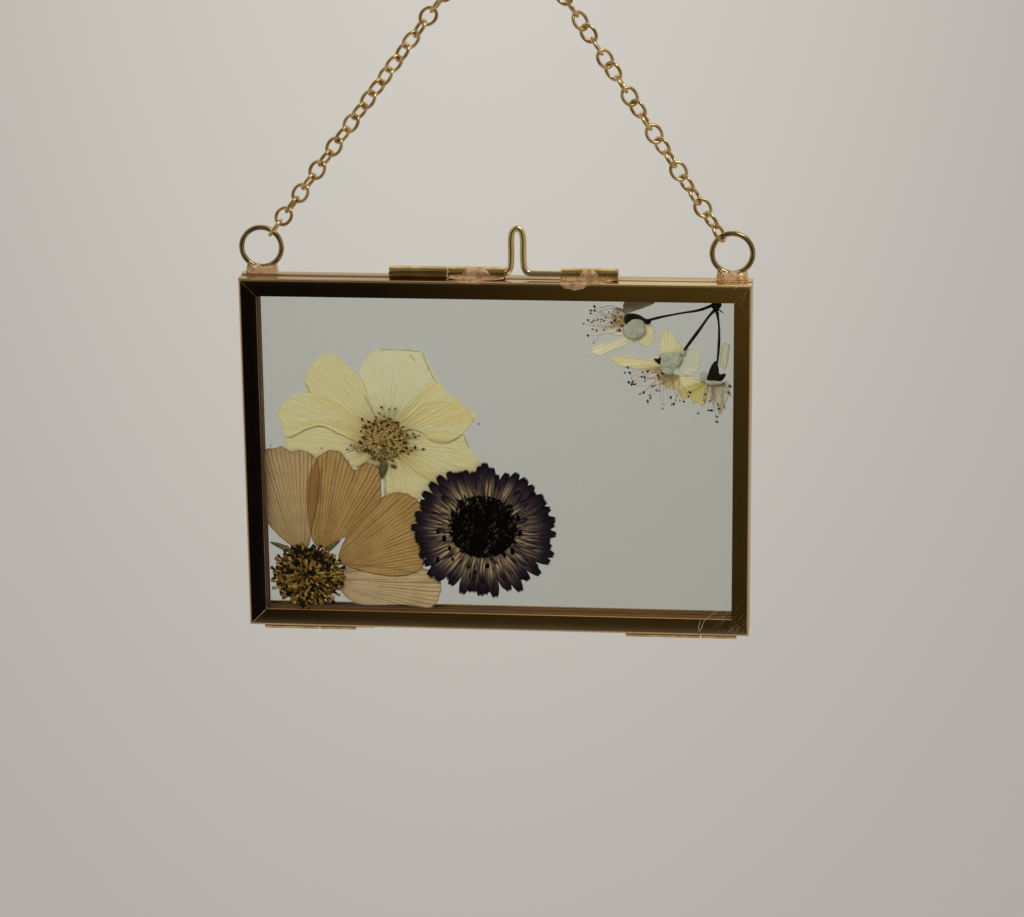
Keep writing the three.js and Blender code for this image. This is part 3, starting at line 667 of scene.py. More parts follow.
def scatter_tree():
    """Sets a small part on every vertex, turned by the attributes way_x, way_y and tilt with a random lean,
    and sized by the attribute size.
    """
    sizes = {"Part": "Object", "Size": "Float", "Spread": "Float", "Lean": "Float", "Seed": "Int",
        "Finish": "Material"}
    tree, inputs, output = node_group("small_parts", sizes)
    part = put(tree, "GeometryNodeObjectInfo",
        {"Object": inputs["Part"], "As Instance": True}).outputs["Geometry"]
    points = put(tree, "GeometryNodeMeshToPoints", {"Mesh": inputs["Geometry"]}).outputs[0]
    spread = times(tree, inputs["Size"], named(tree, "size"))
    jitter = times(tree, random_value(tree, -1.0, 1.0, inputs["Seed"]), inputs["Spread"])
    size = times(tree, spread, plus(tree, 1.0, jitter))
    way = put(tree, "ShaderNodeCombineXYZ", {0: named(tree, "way_x"), 1: named(tree, "way_y")}).outputs[0]
    facing = put(tree, "FunctionNodeAxesToRotation", {0: way, 1: (0.0, 0.0, 1.0)}, primary_axis="Y",
        secondary_axis="Z").outputs[0]
    lean = times(tree, random_value(tree, -1.0, 1.0, inputs["Seed"], 1), inputs["Lean"])
    swing = times(tree, random_value(tree, -1.0, 1.0, inputs["Seed"], 2), inputs["Lean"])
    roll = times(tree, random_value(tree, -1.0, 1.0, inputs["Seed"], 3), inputs["Lean"])
    tilt = plus(tree, named(tree, "tilt"), lean)
    extra = put(tree, "FunctionNodeEulerToRotation",
        {0: put(tree, "ShaderNodeCombineXYZ", {0: tilt, 1: roll, 2: swing}).outputs[0]}).outputs[0]
    turned = put(tree, "FunctionNodeRotateRotation", {0: facing, 1: extra},
        rotation_space="LOCAL").outputs[0]
    wires = {"Points": points, "Instance": part, "Scale": size, "Rotation": turned}
    set_out = put(tree, "GeometryNodeInstanceOnPoints", wires).outputs[0]
    tone = plus(tree, named(tree, "tone_at"), random_value(tree, -0.3, 0.3, inputs["Seed"], 4))
    toned = put(tree, "GeometryNodeStoreNamedAttribute",
        {"Geometry": set_out, "Name": "tone", "Value": tone}, data_type="FLOAT",
        domain="INSTANCE").outputs[0]
    finish_tree(tree, toned, inputs["Finish"], output)
    return tree


# --- chain


def string_links(name, ends, count, turns, finish, tree):
    """Links strung between the two ends. turns, in degrees: the last link's turn, the turn from each
    link to the one over it, the twist on top of that and the link, counted upwards, where it sets in."""
    last, turn, twist, twist_from = turns
    strand = new_piece(name, ends, [], edges=[(0, 1)])
    grow(strand, tree, {
        "Links": count, "Wire": LINK_WIRE / 2, "Half Width": (LINK_WIDTH - LINK_WIRE) / 2,
        "Half Length": (LINK_LENGTH - LINK_WIRE) / 2, "Last Turn": math.radians(last),
        "Turn": math.radians(turn), "Twist": math.radians(twist), "Twist From": float(twist_from),
        "Wobble": math.radians(2), "Seed": SEED + count, "Finish": finish,
    })
    return place(strand, Vector((0, 0, 0)))


def add_strand(name, sign, count, turns, finish, tree):
    """One strand of the chain, from the bottom of the top link to the inside of its ring."""
    start = Vector((sign * STRAND_START[0], 0, STRAND_START[2]))
    ring = FRAME_AT + Vector((sign * RING_X, 0, RING_Z))
    along = (ring - start).normalized()
    contact = ring - along * RING_MEAN
    reach = (contact - start).length + RING_WIRE + LINK_WIRE / 2  # to the last link's end wire
    half_link = (LINK_LENGTH - LINK_WIRE) / 2
    ends = [start + along * half_link, start + along * (reach - half_link)]
    strand = string_links(f"linked_{name}", ends, count, turns, finish, tree)
    give(strand, "back_half", "chain_gold", name)


def add_chain(finish):
    tree = link_tree()
    middle = Vector((0, 0, -LINK_PITCH / 2))
    ends = [middle + Vector((0, 0, 0.01)), middle - Vector((0, 0, 0.01))]
    top = string_links("top_link", ends, 1, (0, 0, 0, 0), finish, tree)
    give(top, "back_half", "chain_gold", "chain_top_link")
    add_strand("chain_left", -1, 27, (96, 93.0, 12, 16), finish, tree)
    add_strand("chain_right", 1, 26, (-67, -62.0, 0, 0), finish, tree)


# --- brass channels and rings


def add_channel(name, length, turn, x, z, middle_y, seam_side, finish):
    """A U channel mitred at both ends. Its outer folds are round, most of all at the seam between the
    halves. seam_side is 1 where the seam is behind the channel and -1 where it is in front."""
    half, web = HALF_DEPTH / 2, FACE - GROOVE
    section = [(-half, -FACE), (-half + FLANGE, -FACE), (-half + FLANGE, -web), (half - FLANGE, -web),
        (half - FLANGE, -FACE), (half, -FACE)]
    for side, radius in ((1, FOLD_SEAM if seam_side > 0 else FOLD_FRONT),
            (-1, FOLD_SEAM if seam_side < 0 else FOLD_FRONT)):
        arc = [(side * (half - radius + radius * math.cos(t)),
            -radius + radius * math.sin(t)) for t in np.linspace(0, math.pi / 2, FOLD_STEPS)]
        section += arc if side > 0 else list(reversed(arc))
    vertices = []
    for end in (-1, 1):
        for across, outward in section:
            vertices.append((end * (length / 2 + outward - MITRE_GAP / 2), across, outward))
    count = len(section)
    faces = [(i, (i + 1) % count, (i + 1) % count + count, i + count) for i in range(count)]
    faces += [tuple(reversed(range(count))), tuple(range(count, 2 * count))]
    obj = new_piece(name, vertices, faces, finish)
    face_outwards(obj)
    groove = obj.data.attributes.new("groove", "FLOAT", "FACE")
    groove.data.foreach_set("value", [1.0 if i < 5 else 0.0 for i in range(len(faces))])
    obj.data.transform(Matrix.Translation((x, middle_y, z)) @ Matrix.Rotation(turn, 4, "Y"))
    for polygon in obj.data.polygons:
        polygon.use_smooth = True
    obj.data.set_sharp_from_angle(angle=math.radians(35))
    return place(obj)


def add_channels(finish, seam, solder):
    runs = [("rail_top", WIDTH, 0, 0, TOP), ("stile_left", HEIGHT, -math.pi / 2, -SIDE, 0),
        ("rail_bottom", WIDTH, math.pi, 0, -TOP), ("stile_right", HEIGHT, math.pi / 2, SIDE, 0)]
    for half, middle_y, seam_side in (("back", BACK_Y, -1), ("front", FRONT_Y, 1)):
        for name, length, turn, x, z in runs:
            piece = add_channel(f"brass_{half}_{name}", length, turn, x, z, middle_y, seam_side, finish)
            give(piece, f"{half}_half", "frame_brass", f"{half}_{name}")
        add_corner_solder(half, middle_y, seam, solder)


def add_corner_solder(half, middle_y, seam, solder):
    """A hair of solder in each mitre, seen on both faces of a half, brightest in the lower left one."""
    vertices, faces, looks = [], [], []
    proud = 0.01
    for sx in (-1, 1):
        for sz in (-1, 1):
            outer = Vector((sx * (SIDE - 0.3), 0, sz * (TOP - 0.3)))
            inner = outer - Vector((sx, 0, sz)) * (FACE - 0.45)
            is_bright = sx < 0 and sz < 0
            across = Vector((1, 0, -1 * sx * sz)).normalized() * (0.075 if is_bright else 0.035)
            thick = HALF_DEPTH / 2 + proud
            first = len(vertices)
            for end in (outer, inner):
                for side, y in ((-1, -thick), (1, -thick), (1, thick), (-1, thick)):
                    vertices.append(end + across * side + Vector((0, middle_y + y, 0)))
            f = first
            faces += [(f, f + 1, f + 2, f + 3), (f + 7, f + 6, f + 5, f + 4)]
            faces += [(f + i, f + 4 + i, f + 4 + (i + 1) % 4, f + (i + 1) % 4) for i in range(4)]
            looks += [1 if is_bright else 0] * 6
    obj = new_piece(f"corner_solder_{half}", vertices, faces, seam, solder)
    obj.data.polygons.foreach_set("material_index", looks)
    face_outwards(obj)
    give(place(obj), f"{half}_half", "fitting_brass")


def face_outwards(obj):
    mesh = bmesh.new()
    mesh.from_mesh(obj.data)
    bmesh.ops.recalc_face_normals(mesh, faces=mesh.faces)
    mesh.to_mesh(obj.data)
    mesh.free()


def lump(points, radii, squash=(1, 1, 1)):
    """Rough balls to be melted together: their vertices and faces."""
    mesh = bmesh.new()
    for point, radius in zip(points, radii):
        scale = Matrix.Diagonal((*[radius * s for s in squash], 1))
        bmesh.ops.create_icosphere(mesh, subdivisions=3, radius=1, matrix=Matrix.Translation(point) @ scale)
    return mesh


def melt(obj, voxel, rounds):
    """Melts overlapping shapes in one smooth skin."""
    remesh = obj.modifiers.new("melt", "REMESH")
    remesh.mode = "VOXEL"
    remesh.voxel_size = voxel
    smooth = obj.modifiers.new("flow", "SMOOTH")
    smooth.factor = 0.5
    smooth.iterations = rounds
    return settle(obj)


def cut_below(obj, z):
    """Cuts the piece off flat at a height and closes the cut."""
    mesh = bmesh.new()
    mesh.from_mesh(obj.data)
    everything = mesh.verts[:] + mesh.edges[:] + mesh.faces[:]
    cut = bmesh.ops.bisect_plane(mesh, geom=everything, plane_co=(0, 0, z), plane_no=(0, 0, -1),
        clear_outer=True)
    rim = [e for e in cut["geom_cut"] if isinstance(e, bmesh.types.BMEdge)]
    bmesh.ops.holes_fill(mesh, edges=rim)
    mesh.to_mesh(obj.data)
    mesh.free()
    return obj


def torus_into(mesh, centre, mean, radius, steps=96, sides=16):
    rows = []
    for i in range(steps):
        turn = math.tau * i / steps
        row = []
        for k in range(sides):
            roll = math.tau * k / sides
            reach = mean + radius * math.cos(roll)
            spot = Vector((reach * math.cos(turn), radius * math.sin(roll), reach * math.sin(turn)))
            row.append(mesh.verts.new(centre + spot))
        rows.append(row)
    for i in range(steps):
        a, b = rows[i], rows[(i + 1) % steps]
        for k in range(sides):
            mesh.faces.new((a[k], b[k], b[(k + 1) % sides], a[(k + 1) % sides]))


# The solder under each ring: half its width at the rail, its lumps as (x, y, height, radius).
RING_SOLDER = {
    "left": (3.45, [(-2.3, -0.15, 0.3, 0.6), (0.0, -0.2, 0.6, 0.5), (2.3, -0.15, 0.4, 0.6)]),
    "right": (3.3, [(-2.2, -0.15, 0.3, 0.6), (1.5, -0.4, 0.9, 0.75), (2.4, -0.2, 0.4, 0.6)]),
}


def prism(outline, thickness, middle_y=0.0):
    """A flat block of an outline in [x, z], closed all round."""
    count = len(outline)
    vertices = [(x, middle_y + side * thickness, z) for side in (-0.5, 0.5) for x, z in outline]
    faces = [tuple(range(count)), tuple(reversed(range(count, 2 * count)))]
    faces += [(i, i + count, (i + 1) % count + count, (i + 1) % count) for i in range(count)]
    return vertices, faces


def add_rings(finish):
    for name, sign in (("left", -1), ("right", 1)):
        centre = Vector((sign * RING_X, BACK_Y, RING_Z))
        reach, lumps = RING_SOLDER[name]
        mesh = lump([centre + Vector((x, y, TOP + z - RING_Z)) for x, y, z, _ in lumps],
            [r for *_, r in lumps], (1.15, 0.8, 0.9))
        low = TOP - 0.4
        arc = [(centre.x + RING_MEAN * math.sin(t),
            centre.z - RING_MEAN * math.cos(t)) for t in np.radians(np.linspace(-44, 44, 13))]
        skirt = [(centre.x - reach, low), (centre.x - reach, TOP + 0.25), *arc,
            (centre.x + reach, TOP + 0.25), (centre.x + reach, low)]
        vertices, faces = prism(skirt, 1.25)
        corners = [mesh.verts.new(v) for v in vertices]
        for face in faces:
            mesh.faces.new([corners[i] for i in face])
        obj = new_piece(f"soldered_ring_{name}", [], [], finish)
        mesh.to_mesh(obj.data)
        mesh.free()
        face_outwards(obj)
        melt(obj, 0.12, 18)
        cut_below(obj, TOP + 0.01)
        joined = bmesh.new()
        joined.from_mesh(obj.data)
        torus_into(joined, centre, RING_MEAN, RING_WIRE)
        joined.to_mesh(obj.data)
        joined.free()
        face_outwards(obj)
        give(place(smooth_shade(obj)), "back_half", "fitting_brass", f"hanging_ring_{name}")


# --- latch and hinges


def rolled_tube(name, x0, x1, outer, bore, centre, seam, gap, finish):
    """Sheet rolled in a tube: it stays open by a hair along one side, at the angle seam."""
    count = 40
    turns = np.linspace(seam + gap, seam + 2 * math.pi - gap, count)
    y, z = centre
    lip = (outer - bore) * 0.22
    rings = []
    for x, inset in ((x0, lip), (x0 + lip, 0), (x1 - lip, 0), (x1, lip)):
        outside = [(x, y + (outer - inset) * math.cos(t), z + (outer - inset) * math.sin(t)) for t in turns]
        within = [(x, y + (bore + inset) * math.cos(t),
            z + (bore + inset) * math.sin(t)) for t in reversed(turns)]
        rings.append(outside + within)
    size = 2 * count
    faces = []
    for r in range(3):
        for i in range(size):
            j = (i + 1) % size
            faces.append((r * size + i, r * size + j, (r + 1) * size + j, (r + 1) * size + i))
    for first in (0, 3 * size):
        for i in range(count - 1):
            faces.append((first + i, first + i + 1, first + size - 2 - i, first + size - 1 - i))
    obj = new_piece(name, [v for ring in rings for v in ring], faces, finish)
    face_outwards(obj)
    for polygon in obj.data.polygons:
        polygon.use_smooth = True
    obj.data.set_sharp_from_angle(angle=math.radians(40))
    return obj


def add_wire(name, points, radius, sides, finish, tree, thick=None):
    """A round wire through the points, in the frame's own millimetres."""
    count = len(points)
    obj = new_piece(name, points, [], edges=[(i, i + 1) for i in range(count - 1)])
    write_attribute(obj, "thick", np.ones(count) if thick is None else thick)
    return grow(obj, tree, {"Radius": radius, "Sides": sides, "Finish": finish})


LATCH = [
    ("latch_tube_back", "back_half", -21.8, -9.9),
    ("latch_tube_front_left", "front_half", -9.6, 2.2),
    ("latch_tube_front_right", "front_half", 13.7, 25.4),
]
SEAM_FACING = math.radians(180 - 17)  # towards the front and a little up
# Solder that ran from a tube over the rail: its ends, how far round the tube it starts
# and how far on it runs, both as millimetres down the slope from the tube's top, at points along it.
LATCH_SOLDER = {
    "latch_tube_front_left": [(-9.4, 2.0,
        [(-9.4, 2.45), (-7.0, 2.35), (-4.0, 2.4), (0.0, 2.45), (2.0, 2.6)],
        [(-9.4, 3.0), (-8.0, 3.5), (-4.0, 3.9), (0.0, 3.5), (2.0, 3.0)], 0.14), (-6.6, -0.9,
        [(-6.6, 1.9), (-5.8, 0.9), (-4.4, 0.35), (-2.6, 0.45), (-1.6, 1.0), (-0.9, 1.9)],
        [(-6.6, 3.0), (-5.6, 3.7), (-4.4, 4.1), (-2.6, 4.0), (-0.9, 3.1)], 0.16), (-8.0, -1.4,
        [(-8.0, 4.0), (-6.0, 3.7), (-3.0, 3.8), (-1.4, 4.0)],
        [(-8.0, 4.5), (-6.6, 5.1), (-4.6, 5.4), (-2.8, 5.35), (-1.4, 4.7)], 0.08),],
    "latch_tube_front_right": [(13.9, 25.2, [(13.9, 2.5), (18.0, 2.4), (22.0, 2.4), (25.2, 2.6)],
        [(13.9, 3.2), (16.0, 3.9), (20.0, 3.9), (23.0, 3.6), (25.2, 3.0)], 0.14), (17.6, 21.3,
        [(17.6, 1.9), (18.2, 0.9), (19.3, 0.4), (20.3, 0.6), (21.3, 1.8)],
        [(17.6, 3.2), (18.6, 3.9), (20.2, 3.9), (21.3, 3.1)], 0.18), (13.6, 23.2,
        [(13.6, 3.6), (16.0, 3.2), (19.0, 3.4), (23.2, 3.9)],
        [(13.6, 5.0), (14.6, 6.0), (16.4, 6.35), (18.4, 6.1), (19.2, 5.4), (21.0, 5.1), (23.2, 4.6)],
        0.12),],
}


def slope_line():
    """The line down which solder runs, as [y, z]: round the tube, over the rail's top and down its face."""
    r = TUBE_OUTER
    line = [(SEAM_Y - r * math.sin(t),
        LATCH_Z + r * math.cos(t)) for t in np.radians(np.linspace(0, 122, 16))]
    line += [(-3.02, TOP + 0.42), (-3.28, TOP + 0.2), (-3.75, TOP + 0.08), (-4.3, TOP + 0.03)]
    fold = (FRONT_FACE_Y + FOLD_FRONT, TOP - FOLD_FRONT)
    line += [(fold[0] - FOLD_FRONT * math.sin(t),
        fold[1] + FOLD_FRONT * math.cos(t)) for t in np.radians(np.linspace(0, 90, 8))]
    line += [(FRONT_FACE_Y, TOP - 1.2), (FRONT_FACE_Y, TOP - 2.4)]
    return evenly(line, 0.1, closed=False)


def add_solder_run(name, x0, x1, starts, ends, proud, finish, seed):
    """One run of solder down the slope line, thickest in its middle and thin at its wandering rim."""
    line = slope_line()
    along = np.concatenate([[0], np.cumsum(np.linalg.norm(np.diff(line, axis=0), axis=1))])
    way = np.gradient(line, axis=0)
    way /= np.linalg.norm(way, axis=1)[:, None]
    outward = np.column_stack([way[:, 1], -way[:, 0]])
    across, rows = 13, max(12, int((x1 - x0) / 0.16))
    vertices = []
    for x in np.linspace(x0, x1, rows):
        first = np.interp(x, *zip(*starts)) + 0.18 * ripple(x, 0.0, 0.9, seed)
        last = np.interp(x, *zip(*ends)) + 0.22 * ripple(x, 5.0, 0.8, seed)
        first, last = min(first, last - 0.2), max(last, first + 0.2)
        end_fade = min(1.0, (x - x0) / 0.5 + 0.05, (x1 - x) / 0.5 + 0.05) ** 0.5
        for layer in (1, -1):
            for t in np.linspace(0, 1, across)[::layer]:
                at = first + (last - first) * t
                y, z = np.interp(at, along, line[:, 0]), np.interp(at, along, line[:, 1])
                n_y, n_z = np.interp(at, along, outward[:, 0]), np.interp(at, along, outward[:, 1])
                lift = proud * end_fade * math.sin(math.pi * min(max(t, 0.02), 0.98)) ** 0.6
                lift *= 0.85 + 0.5 * ripple(x, at, 0.7, seed + 4)
                move = lift + 0.01 if layer > 0 else -0.06
                vertices.append((x, y + n_y * move, z + n_z * move))
    size = 2 * across
    faces = [(r * size + i, r * size + (i + 1) % size, (r + 1) * size + (i + 1) % size,
        (r + 1) * size + i) for r in range(rows - 1) for i in range(size)]
    faces += [tuple(range(size)), tuple((rows - 1) * size + i for i in reversed(range(size)))]
    obj = new_piece(name, vertices, faces, finish)
    face_outwards(obj)
    return place(smooth_shade(obj))


def add_latch(tube_finish, solder, wire_finish, tree):
    for node, body, x0, x1 in LATCH:
        tube = rolled_tube(f"rolled_{node}", x0, x1, TUBE_OUTER, TUBE_BORE, (SEAM_Y, LATCH_Z), SEAM_FACING,
            math.radians(4), tube_finish)
        give(place(tube), body, "fitting_brass", node)
        for k, run in enumerate(LATCH_SOLDER.get(node, ())):
            flow = add_solder_run(f"solder_{node}_{k + 1}", *run, solder, SEED + 60.0 + k)
            give(flow, body, "fitting_brass")
    route = smooth_path([(x, SEAM_Y, LATCH_Z + z) for x, z in PIN_ROUTE], 6)
    pin = add_wire("looped_latch_pin", route, PIN_WIRE, 20, wire_finish, tree)
    give(place(pin), "latch_pin", "latch_wire", "latch_pin")


HINGES = [
    ("left", (-50.1, -38.5), (-38.2, -30.6), (-49.8, -26.8)),
    ("right", (42.8, 50.2), (26.8, 42.5), (27.1, 49.9)),
]
SEAM_BACK = math.radians(75)


def add_hinges(tube_finish, solder, wire_finish, tree):
    for side, front, back, pin in HINGES:
        for half, (x0, x1), facing in (("front", front, -1), ("back", back, 1)):
            tube = rolled_tube(f"rolled_knuckle_{side}_{half}", x0, x1, KNUCKLE_OUTER, KNUCKLE_BORE,
                (SEAM_Y, HINGE_Z), SEAM_BACK, math.radians(5), tube_finish)
            give(place(tube), f"{half}_half", "fitting_brass", f"hinge_{side}_knuckle_{half}")
            spots = np.linspace(x0 + 1.2, x1 - 1.2, 7)
            points = [Vector((x, SEAM_Y + facing * 1.0, HINGE_Z + 0.62)) for x in spots]
            mesh = lump(points, [0.55 + 0.06 * math.sin(3.1 * x) for x in spots], (1.3, 0.95, 0.5))
            fillet = new_piece(f"solder_knuckle_{side}_{half}", [], [], solder)
            mesh.to_mesh(fillet.data)
            mesh.free()
            give(place(smooth_shade(melt(fillet, 0.16, 5))), f"{half}_half", "fitting_brass")
        ends = [(x, SEAM_Y, HINGE_Z) for x in np.linspace(pin[0], pin[1], 4)]
        rod = add_wire(f"hinge_rod_{side}", ends, HINGE_PIN, 16, wire_finish, tree)
        give(place(rod), "back_half", "latch_wire", f"hinge_{side}_pin")


# --- petals


def ripple(x, y, scale, seed):
    return noise.noise(Vector((x * scale, y * scale, seed)))


def petal_sheet(name, node, depth, root, finish, *, laps=(), creases=(), ridges=(), spacing=0.42, wave=0.07,
        cup=0.05, rim_ruffle=0.0, curl=0.03, thickness=0.05):
    """A thin sheet of the plate's outline: a fine mesh with points along its folds, gently waved."""
    outline = evenly(smooth_path(outline_of(node), 3, closed=True), spacing * 0.55)
    if rim_ruffle:
        wobble = np.array([ripple(x, y, 1.1, SEED + 3.0) for x, y in outline])
        outward = outline - np.array(root)
        outward /= np.maximum(np.linalg.norm(outward, axis=1)[:, None], 1e-6)
        outline = outline + outward * (wobble * rim_ruffle)[:, None]
    low, high = outline.min(0), outline.max(0)
    rows = np.arange(low[1], high[1], spacing * 0.866)
    grid = np.array([(x + (i % 2) * spacing / 2, y) for i,
        y in enumerate(rows) for x in np.arange(low[0], high[0], spacing)])
    grid = grid[inside(grid, outline) & (distance_to(grid, outline) > spacing * 0.75)]
    near_rim = inward(outline, 0.16)
    near_rim = near_rim[inside(near_rim, outline) & (distance_to(near_rim, outline) > 0.12)]
    folds = [np.asarray(line, float) for line in (*creases, *ridges)]
    extra = [near_rim]
    for line in folds:
        fine = evenly(smooth_path(line, 6) if len(line) > 2 else line, 0.2, closed=False)
        extra += [offset_line(fine, d) for d in (-0.22, 0.0, 0.22)]
    behind = [outline_of(other) for other in laps]
    for other in behind:
        fine = evenly(other, 0.3)
        extra += [inward(fine, d) for d in (-0.1, 0.1)]
    loose = np.vstack([p for p in extra if len(p)])
    loose = loose[inside(loose, outline) & (distance_to(loose, outline) > 0.1)]
    coords = [Vector(p) for p in np.vstack([outline, grid, loose])]
    ring = list(range(len(outline)))
    made = geometry.delaunay_2d_cdt(coords, [], [ring], 1, 1e-4)
    flat = np.array([tuple(p) for p in made[0]])
    to_rim = distance_to(flat, outline)
    heights = np.array([wave * ripple(x, y, 0.16, SEED) for x, y in flat])
    heights += np.array([cup * ripple(x, y, 0.45, SEED + 9.0) for x, y in flat])
    heights += curl * np.exp(-(to_rim / 0.5) ** 2)
    # Creases are pressed in and ridges raised; their attributes carry painted shade and painted highlight.
    dark, pale = np.zeros(len(flat)), np.zeros(len(flat))
    for k, line in enumerate(folds):
        fine = smooth_path(line, 6) if len(line) > 2 else line
        near = np.exp(-(distance_to(flat, fine, closed=False) / 0.13) ** 2)
        if k < len(creases):
            dark = np.maximum(dark, near)
            heights -= 0.08 * near
        else:
            pale = np.maximum(pale, near)
            heights += 0.08 * near
    lap = np.zeros(len(flat))
    for other in behind:
        lap = np.maximum(lap, np.clip(distance_to(flat, other) / 0.1, 0, 1) * inside(flat, other))
    obj = new_piece(name, np.column_stack([flat, heights]), made[2], finish)
    write_attribute(obj, "edge", np.exp(-(to_rim / RIM_WIDTH) ** 2))
    write_attribute(obj, "crease_shade", dark)
    write_attribute(obj, "ridge_highlight", pale)
    write_attribute(obj, "lap", lap)
    write_fan(obj, root)
    return thicken(obj, thickness, depth)


def oval(x, y, rx, ry, count=16):
    return [(x + rx * math.cos(math.tau * k / count),
        y + ry * math.sin(math.tau * k / count)) for k in range(count)]


def leaf_sheet(name, points, depth, finish, bulge=0.12, thickness=0.06, spacing=0.3, root=None, tone=0.5):
    """A small leaf, bract or cup from a few outline points, swelling towards its middle."""
    outline = evenly(smooth_path(points, 6, closed=True), spacing * 0.7)
    low, high = outline.min(0), outline.max(0)
    grid = np.array([(x, y) for y in np.arange(low[1], high[1], spacing) for x in np.arange(low[0], high[0],
        spacing)])
    grid = grid[inside(grid, outline) & (distance_to(grid, outline) > spacing * 0.5)] if len(grid) else grid
    coords = [Vector(p) for p in (np.vstack([outline, grid]) if len(grid) else outline)]
    made = geometry.delaunay_2d_cdt(coords, [], [list(range(len(outline)))], 1, 1e-4)
    flat = np.array([tuple(p) for p in made[0]])
    to_rim = distance_to(flat, outline)
    heights = bulge * np.sqrt(to_rim / max(to_rim.max(), 1e-6))
    heights += np.array([0.05 * ripple(x, y, 0.9, SEED + 2.0) for x, y in flat])
    obj = new_piece(name, np.column_stack([flat, heights]), made[2], finish)
    for key in ("crease_shade", "ridge_highlight", "lap"):
        write_attribute(obj, key, np.zeros(len(flat)))
    write_attribute(obj, "edge", np.exp(-(to_rim / RIM_WIDTH) ** 2))
    write_attribute(obj, "tone", np.full(len(flat), tone))
    write_fan(obj, root if root is not None else tuple(flat.mean(0) - (0, 6)))
    return thicken(obj, thickness, depth)


def offset_line(line, distance):
    way = np.gradient(line, axis=0)
    way /= np.maximum(np.linalg.norm(way, axis=1)[:, None], 1e-9)
    return line + np.column_stack([-way[:, 1], way[:, 0]]) * distance


def inward(outline, distance):
    """The outline moved in by a distance, or out by a negative one."""
    way = np.roll(outline, -1, axis=0) - np.roll(outline, 1, axis=0)
    way /= np.maximum(np.linalg.norm(way, axis=1)[:, None], 1e-9)
    x, y = outline[:, 0], outline[:, 1]
    turns_left = np.sum(x * np.roll(y, -1) - np.roll(x, -1) * y) > 0
    normal = np.column_stack([-way[:, 1], way[:, 0]]) * (1 if turns_left else -1)
    return outline + normal * distance


def write_fan(obj, root):
    """A map whose u is the angle about the petal's root and v the distance from it, in millimetres."""
    mesh = obj.data
    fan = mesh.uv_layers.new(name="fan")
    for loop in mesh.loops:
        spot = mesh.vertices[loop.vertex_index].co
        dx, dy = spot.x - root[0], spot.y - root[1]
        fan.data[loop.index].uv = (math.atan2(dx, dy) / math.tau, math.hypot(dx, dy))


CREAM_ROOT = (-23.4, 2.4)
CREAM = {
    # petal: depth, the petals behind it, creases painted with shade, ridges painted with a highlight
    "bottom": (-1.16, (), (), ()),
    "top": (-1.17, (), ([(-23.6, 22.1), (-19.8, 22.1), (-15.6, 21.8)],
        [(-15.1, 21.4), (-13.2, 16.9), (-12.4, 15.4)], [(-17.5, 20.9), (-16.7, 19.9)]), ()),
    "lower_left": (-1.18, (), (),
        ([(-29.4, -2.6), (-27.5, -1.0), (-26.2, -0.3)], [(-30.5, -2.6), (-28.7, -1.9), (-27.5, -1.2)])),
    "upper_left": (-1.28, ("top",), ([(-28.4, 17.5), (-28.1, 16.8), (-27.6, 15.8)],
        [(-39.8, 14.7), (-38.9, 12.6)], [(-27.2, 11.9), (-26.4, 10.1), (-25.6, 8.4)]), ()),
    "upper_right": (-1.30, ("top",), (), ([(-12.4, 15.2), (-15.8, 12.9), (-18.2, 10.1)],)),
    "lower_right": (-1.29, ("bottom",), ([(-6.6, 3.9), (-6.2, 2.5), (-5.7, 1.3)],), ()),
    "left": (-1.42, ("upper_left", "lower_left"), (),
        ([(-40.2, 12.2), (-36.8, 11.7), (-33.1, 10.9), (-31.0, 9.3), (-29.3, 8.2)],
        [(-43.7, 3.1), (-40.7, 4.4), (-37.0, 5.5), (-33.9, 4.7), (-30.8, 2.9)])),
    "right": (-1.43, ("upper_right", "lower_right"),
        ([(-18.5, 5.1), (-15.8, 4.4), (-14.3, 3.0), (-11.8, 2.5), (-9.3, 2.6), (-7.1, 4.0)],),
        ([(-18.0, 8.2), (-14.8, 11.0), (-10.6, 11.4), (-8.1, 11.0)],)),
}


def add_cream_petals(finish, pale_finish):
    base = leaf_sheet("cream_flower_base", oval(CREAM_ROOT[0] - 0.4, CREAM_ROOT[1] - 1.2, 7.4, 7.4), -1.06,
        finish, 0.04, root=CREAM_ROOT)
    give(base, "back_half", "cream_petal")
    for name, (depth, laps, creases, ridges) in CREAM.items():
        node = f"cream_petal_{name}"
        look = pale_finish if name == "top" else finish
        piece = petal_sheet(f"pressed_{node}", node, depth, CREAM_ROOT, look,
            laps=[f"cream_petal_{other}" for other in laps], creases=creases, ridges=ridges,
            rim_ruffle=0.12)
        give(piece, "back_half", "cream_petal", node)


COSMOS = {
    # petal: depth, where its veins start, the petals behind it, creases painted with shade, finish
    "upper": (-2.00, (-38.4, -27.0), (), ([(-38.6, -18.5), (-37.2, -12.0), (-36.9, -4.0)],), "warm"),
    "lower": (-2.01, (-40.0, -28.5), (), ([(-33.4, -26.6), (-24.0, -26.2), (-16.5, -26.6)],), "pale"),
    "right": (-2.13, (-38.6, -27.6), (), ([(-32.6, -24.9), (-24.0, -25.4), (-18.0, -26.2)],
        [(-33.0, -22.0), (-25.0, -14.5), (-21.0, -10.5)]), "warm"),
    "left": (-2.14, (-41.4, -27.0), ("upper",), (), "grey"),
}


def add_cosmos_petals(finishes):
    for name, (depth, root, laps, creases, look) in COSMOS.items():
        node = f"cosmos_petal_{name}"
        piece = petal_sheet(f"pressed_{node}", node, depth, root, finishes[look],
            laps=[f"cosmos_petal_{other}" for other in laps], creases=creases, rim_ruffle=0.25, cup=0.03)
        give(piece, "back_half", "cosmos_petal", node)


# --- stamens


